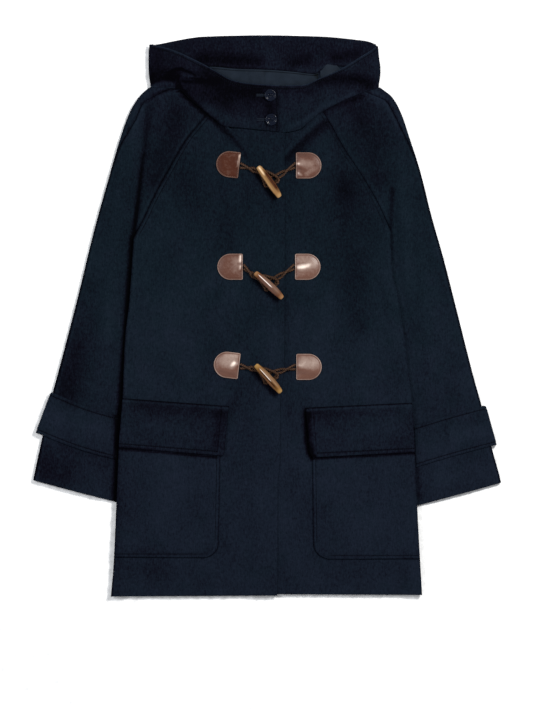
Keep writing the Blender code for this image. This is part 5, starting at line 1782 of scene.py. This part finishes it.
# Zones across each toggle, its tips, its deeper rings and its painted highlight, a pale streak.
HORNS = (
    (
        (
            (0.02, (0.22, 0.12, 0.055)), (0.18, (0.35, 0.2, 0.085)), (0.34, (0.22, 0.125, 0.052)),
            (0.54, (0.155, 0.08, 0.031)), (0.63, (0.052, 0.016, 0.004)), (0.84, (0.022, 0.004, 0.001)),
            (0.98, (0.065, 0.026, 0.012)),
        ),
        (0.3, 0.18, 0.078), (0.22, 0.115, 0.044), (0.02, 0.32, 0.46, 0.17, (0.62, 0.45, 0.28)),
    ),
    (
        (
            (0.02, (0.13, 0.06, 0.042)), (0.18, (0.125, 0.062, 0.045)), (0.34, (0.09, 0.05, 0.038)),
            (0.5, (0.12, 0.066, 0.043)), (0.66, (0.135, 0.08, 0.06)), (0.82, (0.118, 0.068, 0.048)),
            (0.98, (0.125, 0.068, 0.045)),
        ),
        (0.24, 0.125, 0.055), (0.085, 0.026, 0.007), (0.13, 0.62, 0.55, 0.068, (0.93, 0.82, 0.77)),
    ),
    (
        (
            (0.02, (0.165, 0.074, 0.04)), (0.2, (0.145, 0.07, 0.032)), (0.34, (0.026, 0.009, 0.003)),
            (0.45, (0.056, 0.023, 0.008)), (0.56, (0.155, 0.08, 0.036)), (0.66, (0.195, 0.118, 0.066)),
            (0.82, (0.165, 0.092, 0.048)), (0.98, (0.14, 0.075, 0.035)),
        ),
        (0.28, 0.165, 0.056), (0.17, 0.08, 0.02), (0.17, 0.62, 0.5, 0.062, (0.8, 0.7, 0.62)),
    ),
)


def all_looks():
    looks = {
        "wool": wool_look("navy_wool"),
        "wool_left": wool_look("navy_wool_left", 0.24),
        "wool_right": wool_look("navy_wool_right", -0.24),
        "satin": satin_look("lining_satin", (0.0058, 0.0088, 0.014), (0.0095, 0.014, 0.0214)),
        "thread": plain_look("navy_thread", (0.0022, 0.0036, 0.0068), 0.8, 0.05),
        "buttonhole": plain_look("buttonhole_thread", (0.008, 0.012, 0.02), 0.7, 0.08),
        "leather_thread": plain_look("leather_thread", (0.13, 0.075, 0.055), 0.55, 0.2),
        "horn": [horn_look("horn_%d" % (i + 1), *horn) for i, horn in enumerate(HORNS)],
        "cord": cord_look("brown_cord", (0.01, 0.0045, 0.0022), (0.066, 0.031, 0.016)),
        "button": plain_look("navy_button", (0.002, 0.0035, 0.009), 0.16, 0.12, 300),
        "floor": plain_look("pale_floor", (0.9, 0.9, 0.9), 0.9, 0.1, 90),
    }
    for side, leathers in PATCH_LEATHER.items():
        looks["leather_" + side] = [
            leather_look("leather_%s_%d" % (side, i + 1), *leather) for i, leather in enumerate(leathers)
        ]
    return looks


# ---------------------------------------------------------------- floor, lights and camera

FLOOR_SIZE = 6000
FLOOR_Z = -0.6
VIEW_CENTRE = (-1.5, -65.2)
VIEW_HEIGHT = 1173
LENS = 300
SENSOR = 36
# Place, size, watts and colour of each light, in metres.
LIGHTS = {
    "key": ((1.15, 1, 2.3), 0.6, 76, (1, 0.99, 0.97)),
    "fill": ((-1.1, 0.25, 2.1), 0.5, 20, (0.95, 0.97, 1)),
}


def placed(name, data, place=(0, 0, 0)):
    item = bpy.data.objects.new(name, data)
    item.location = place
    bpy.context.scene.collection.objects.link(item)
    return item


def make_stage(floor):
    data = bpy.data.meshes.new("floor")
    corners = [(a * FLOOR_SIZE, b * FLOOR_SIZE, FLOOR_Z) for a, b in ((-1, -1), (1, -1), (1, 1), (-1, 1))]
    data.from_pydata([Vector(c) * MM for c in corners], [], [(0, 1, 2, 3)])
    data.materials.append(floor)
    placed("floor", data)


def make_lights():
    """Soft square lights that face the middle of the coat, and a pale sky."""
    world = bpy.data.worlds.new("studio")
    world.use_nodes = True
    sky = world.node_tree.nodes["Background"]
    sky.inputs["Color"].default_value = (0.95, 0.97, 1, 1)
    sky.inputs["Strength"].default_value = 0.55
    bpy.context.scene.world = world
    for name, (place, size, watts, colour) in LIGHTS.items():
        data = bpy.data.lights.new(name, "AREA")
        data.shape = "SQUARE"
        data.size, data.energy, data.color = size, watts, colour
        placed(name, data, place).rotation_euler = (-Vector(place)).to_track_quat("-Z", "Y").to_euler()


def make_camera():
    data = bpy.data.cameras.new("camera")
    data.lens, data.sensor_width = LENS, SENSOR
    place = Vector((*VIEW_CENTRE, VIEW_HEIGHT * LENS / SENSOR)) * MM
    bpy.context.scene.camera = placed("camera", data, place)


def main():
    looks = all_looks()
    make_camera()
    make_lights()
    make_stage(looks["floor"])
    bpy.context.scene.view_settings.view_transform = "Standard"
    wool, thread = looks["wool"], looks["thread"]
    make_crown(wool)
    make_back(wool)
    for side in SIDES:
        sleeve = looks["wool_" + side]
        make_front(side, wool, thread)
        make_sleeve_piece("sleeve_upper", side, upper_girths(), front_side_x, sleeve)
        make_sleeve_piece("sleeve_under", side, under_girths(), back_side_x, sleeve)
        make_cuff_band(side, sleeve, thread)
        make_pocket(side, wool, thread)
        make_flap(side, wool, thread)
        make_hood_side(side, wool, thread)
        make_rim_roll(side, wool)
        make_gusset(side, wool)
        make_neck_corner(side, wool)
    make_hood_back(wool)
    make_neck_lining(looks["satin"], thread)
    make_facing(looks["satin"])
    for i, (x, y) in enumerate(BUTTONS):
        make_button(i, x, y, looks)
        make_buttonhole(i, x, y, looks["buttonhole"])
    for i in range(len(FASTENINGS)):
        make_fastening(i, looks)


main()
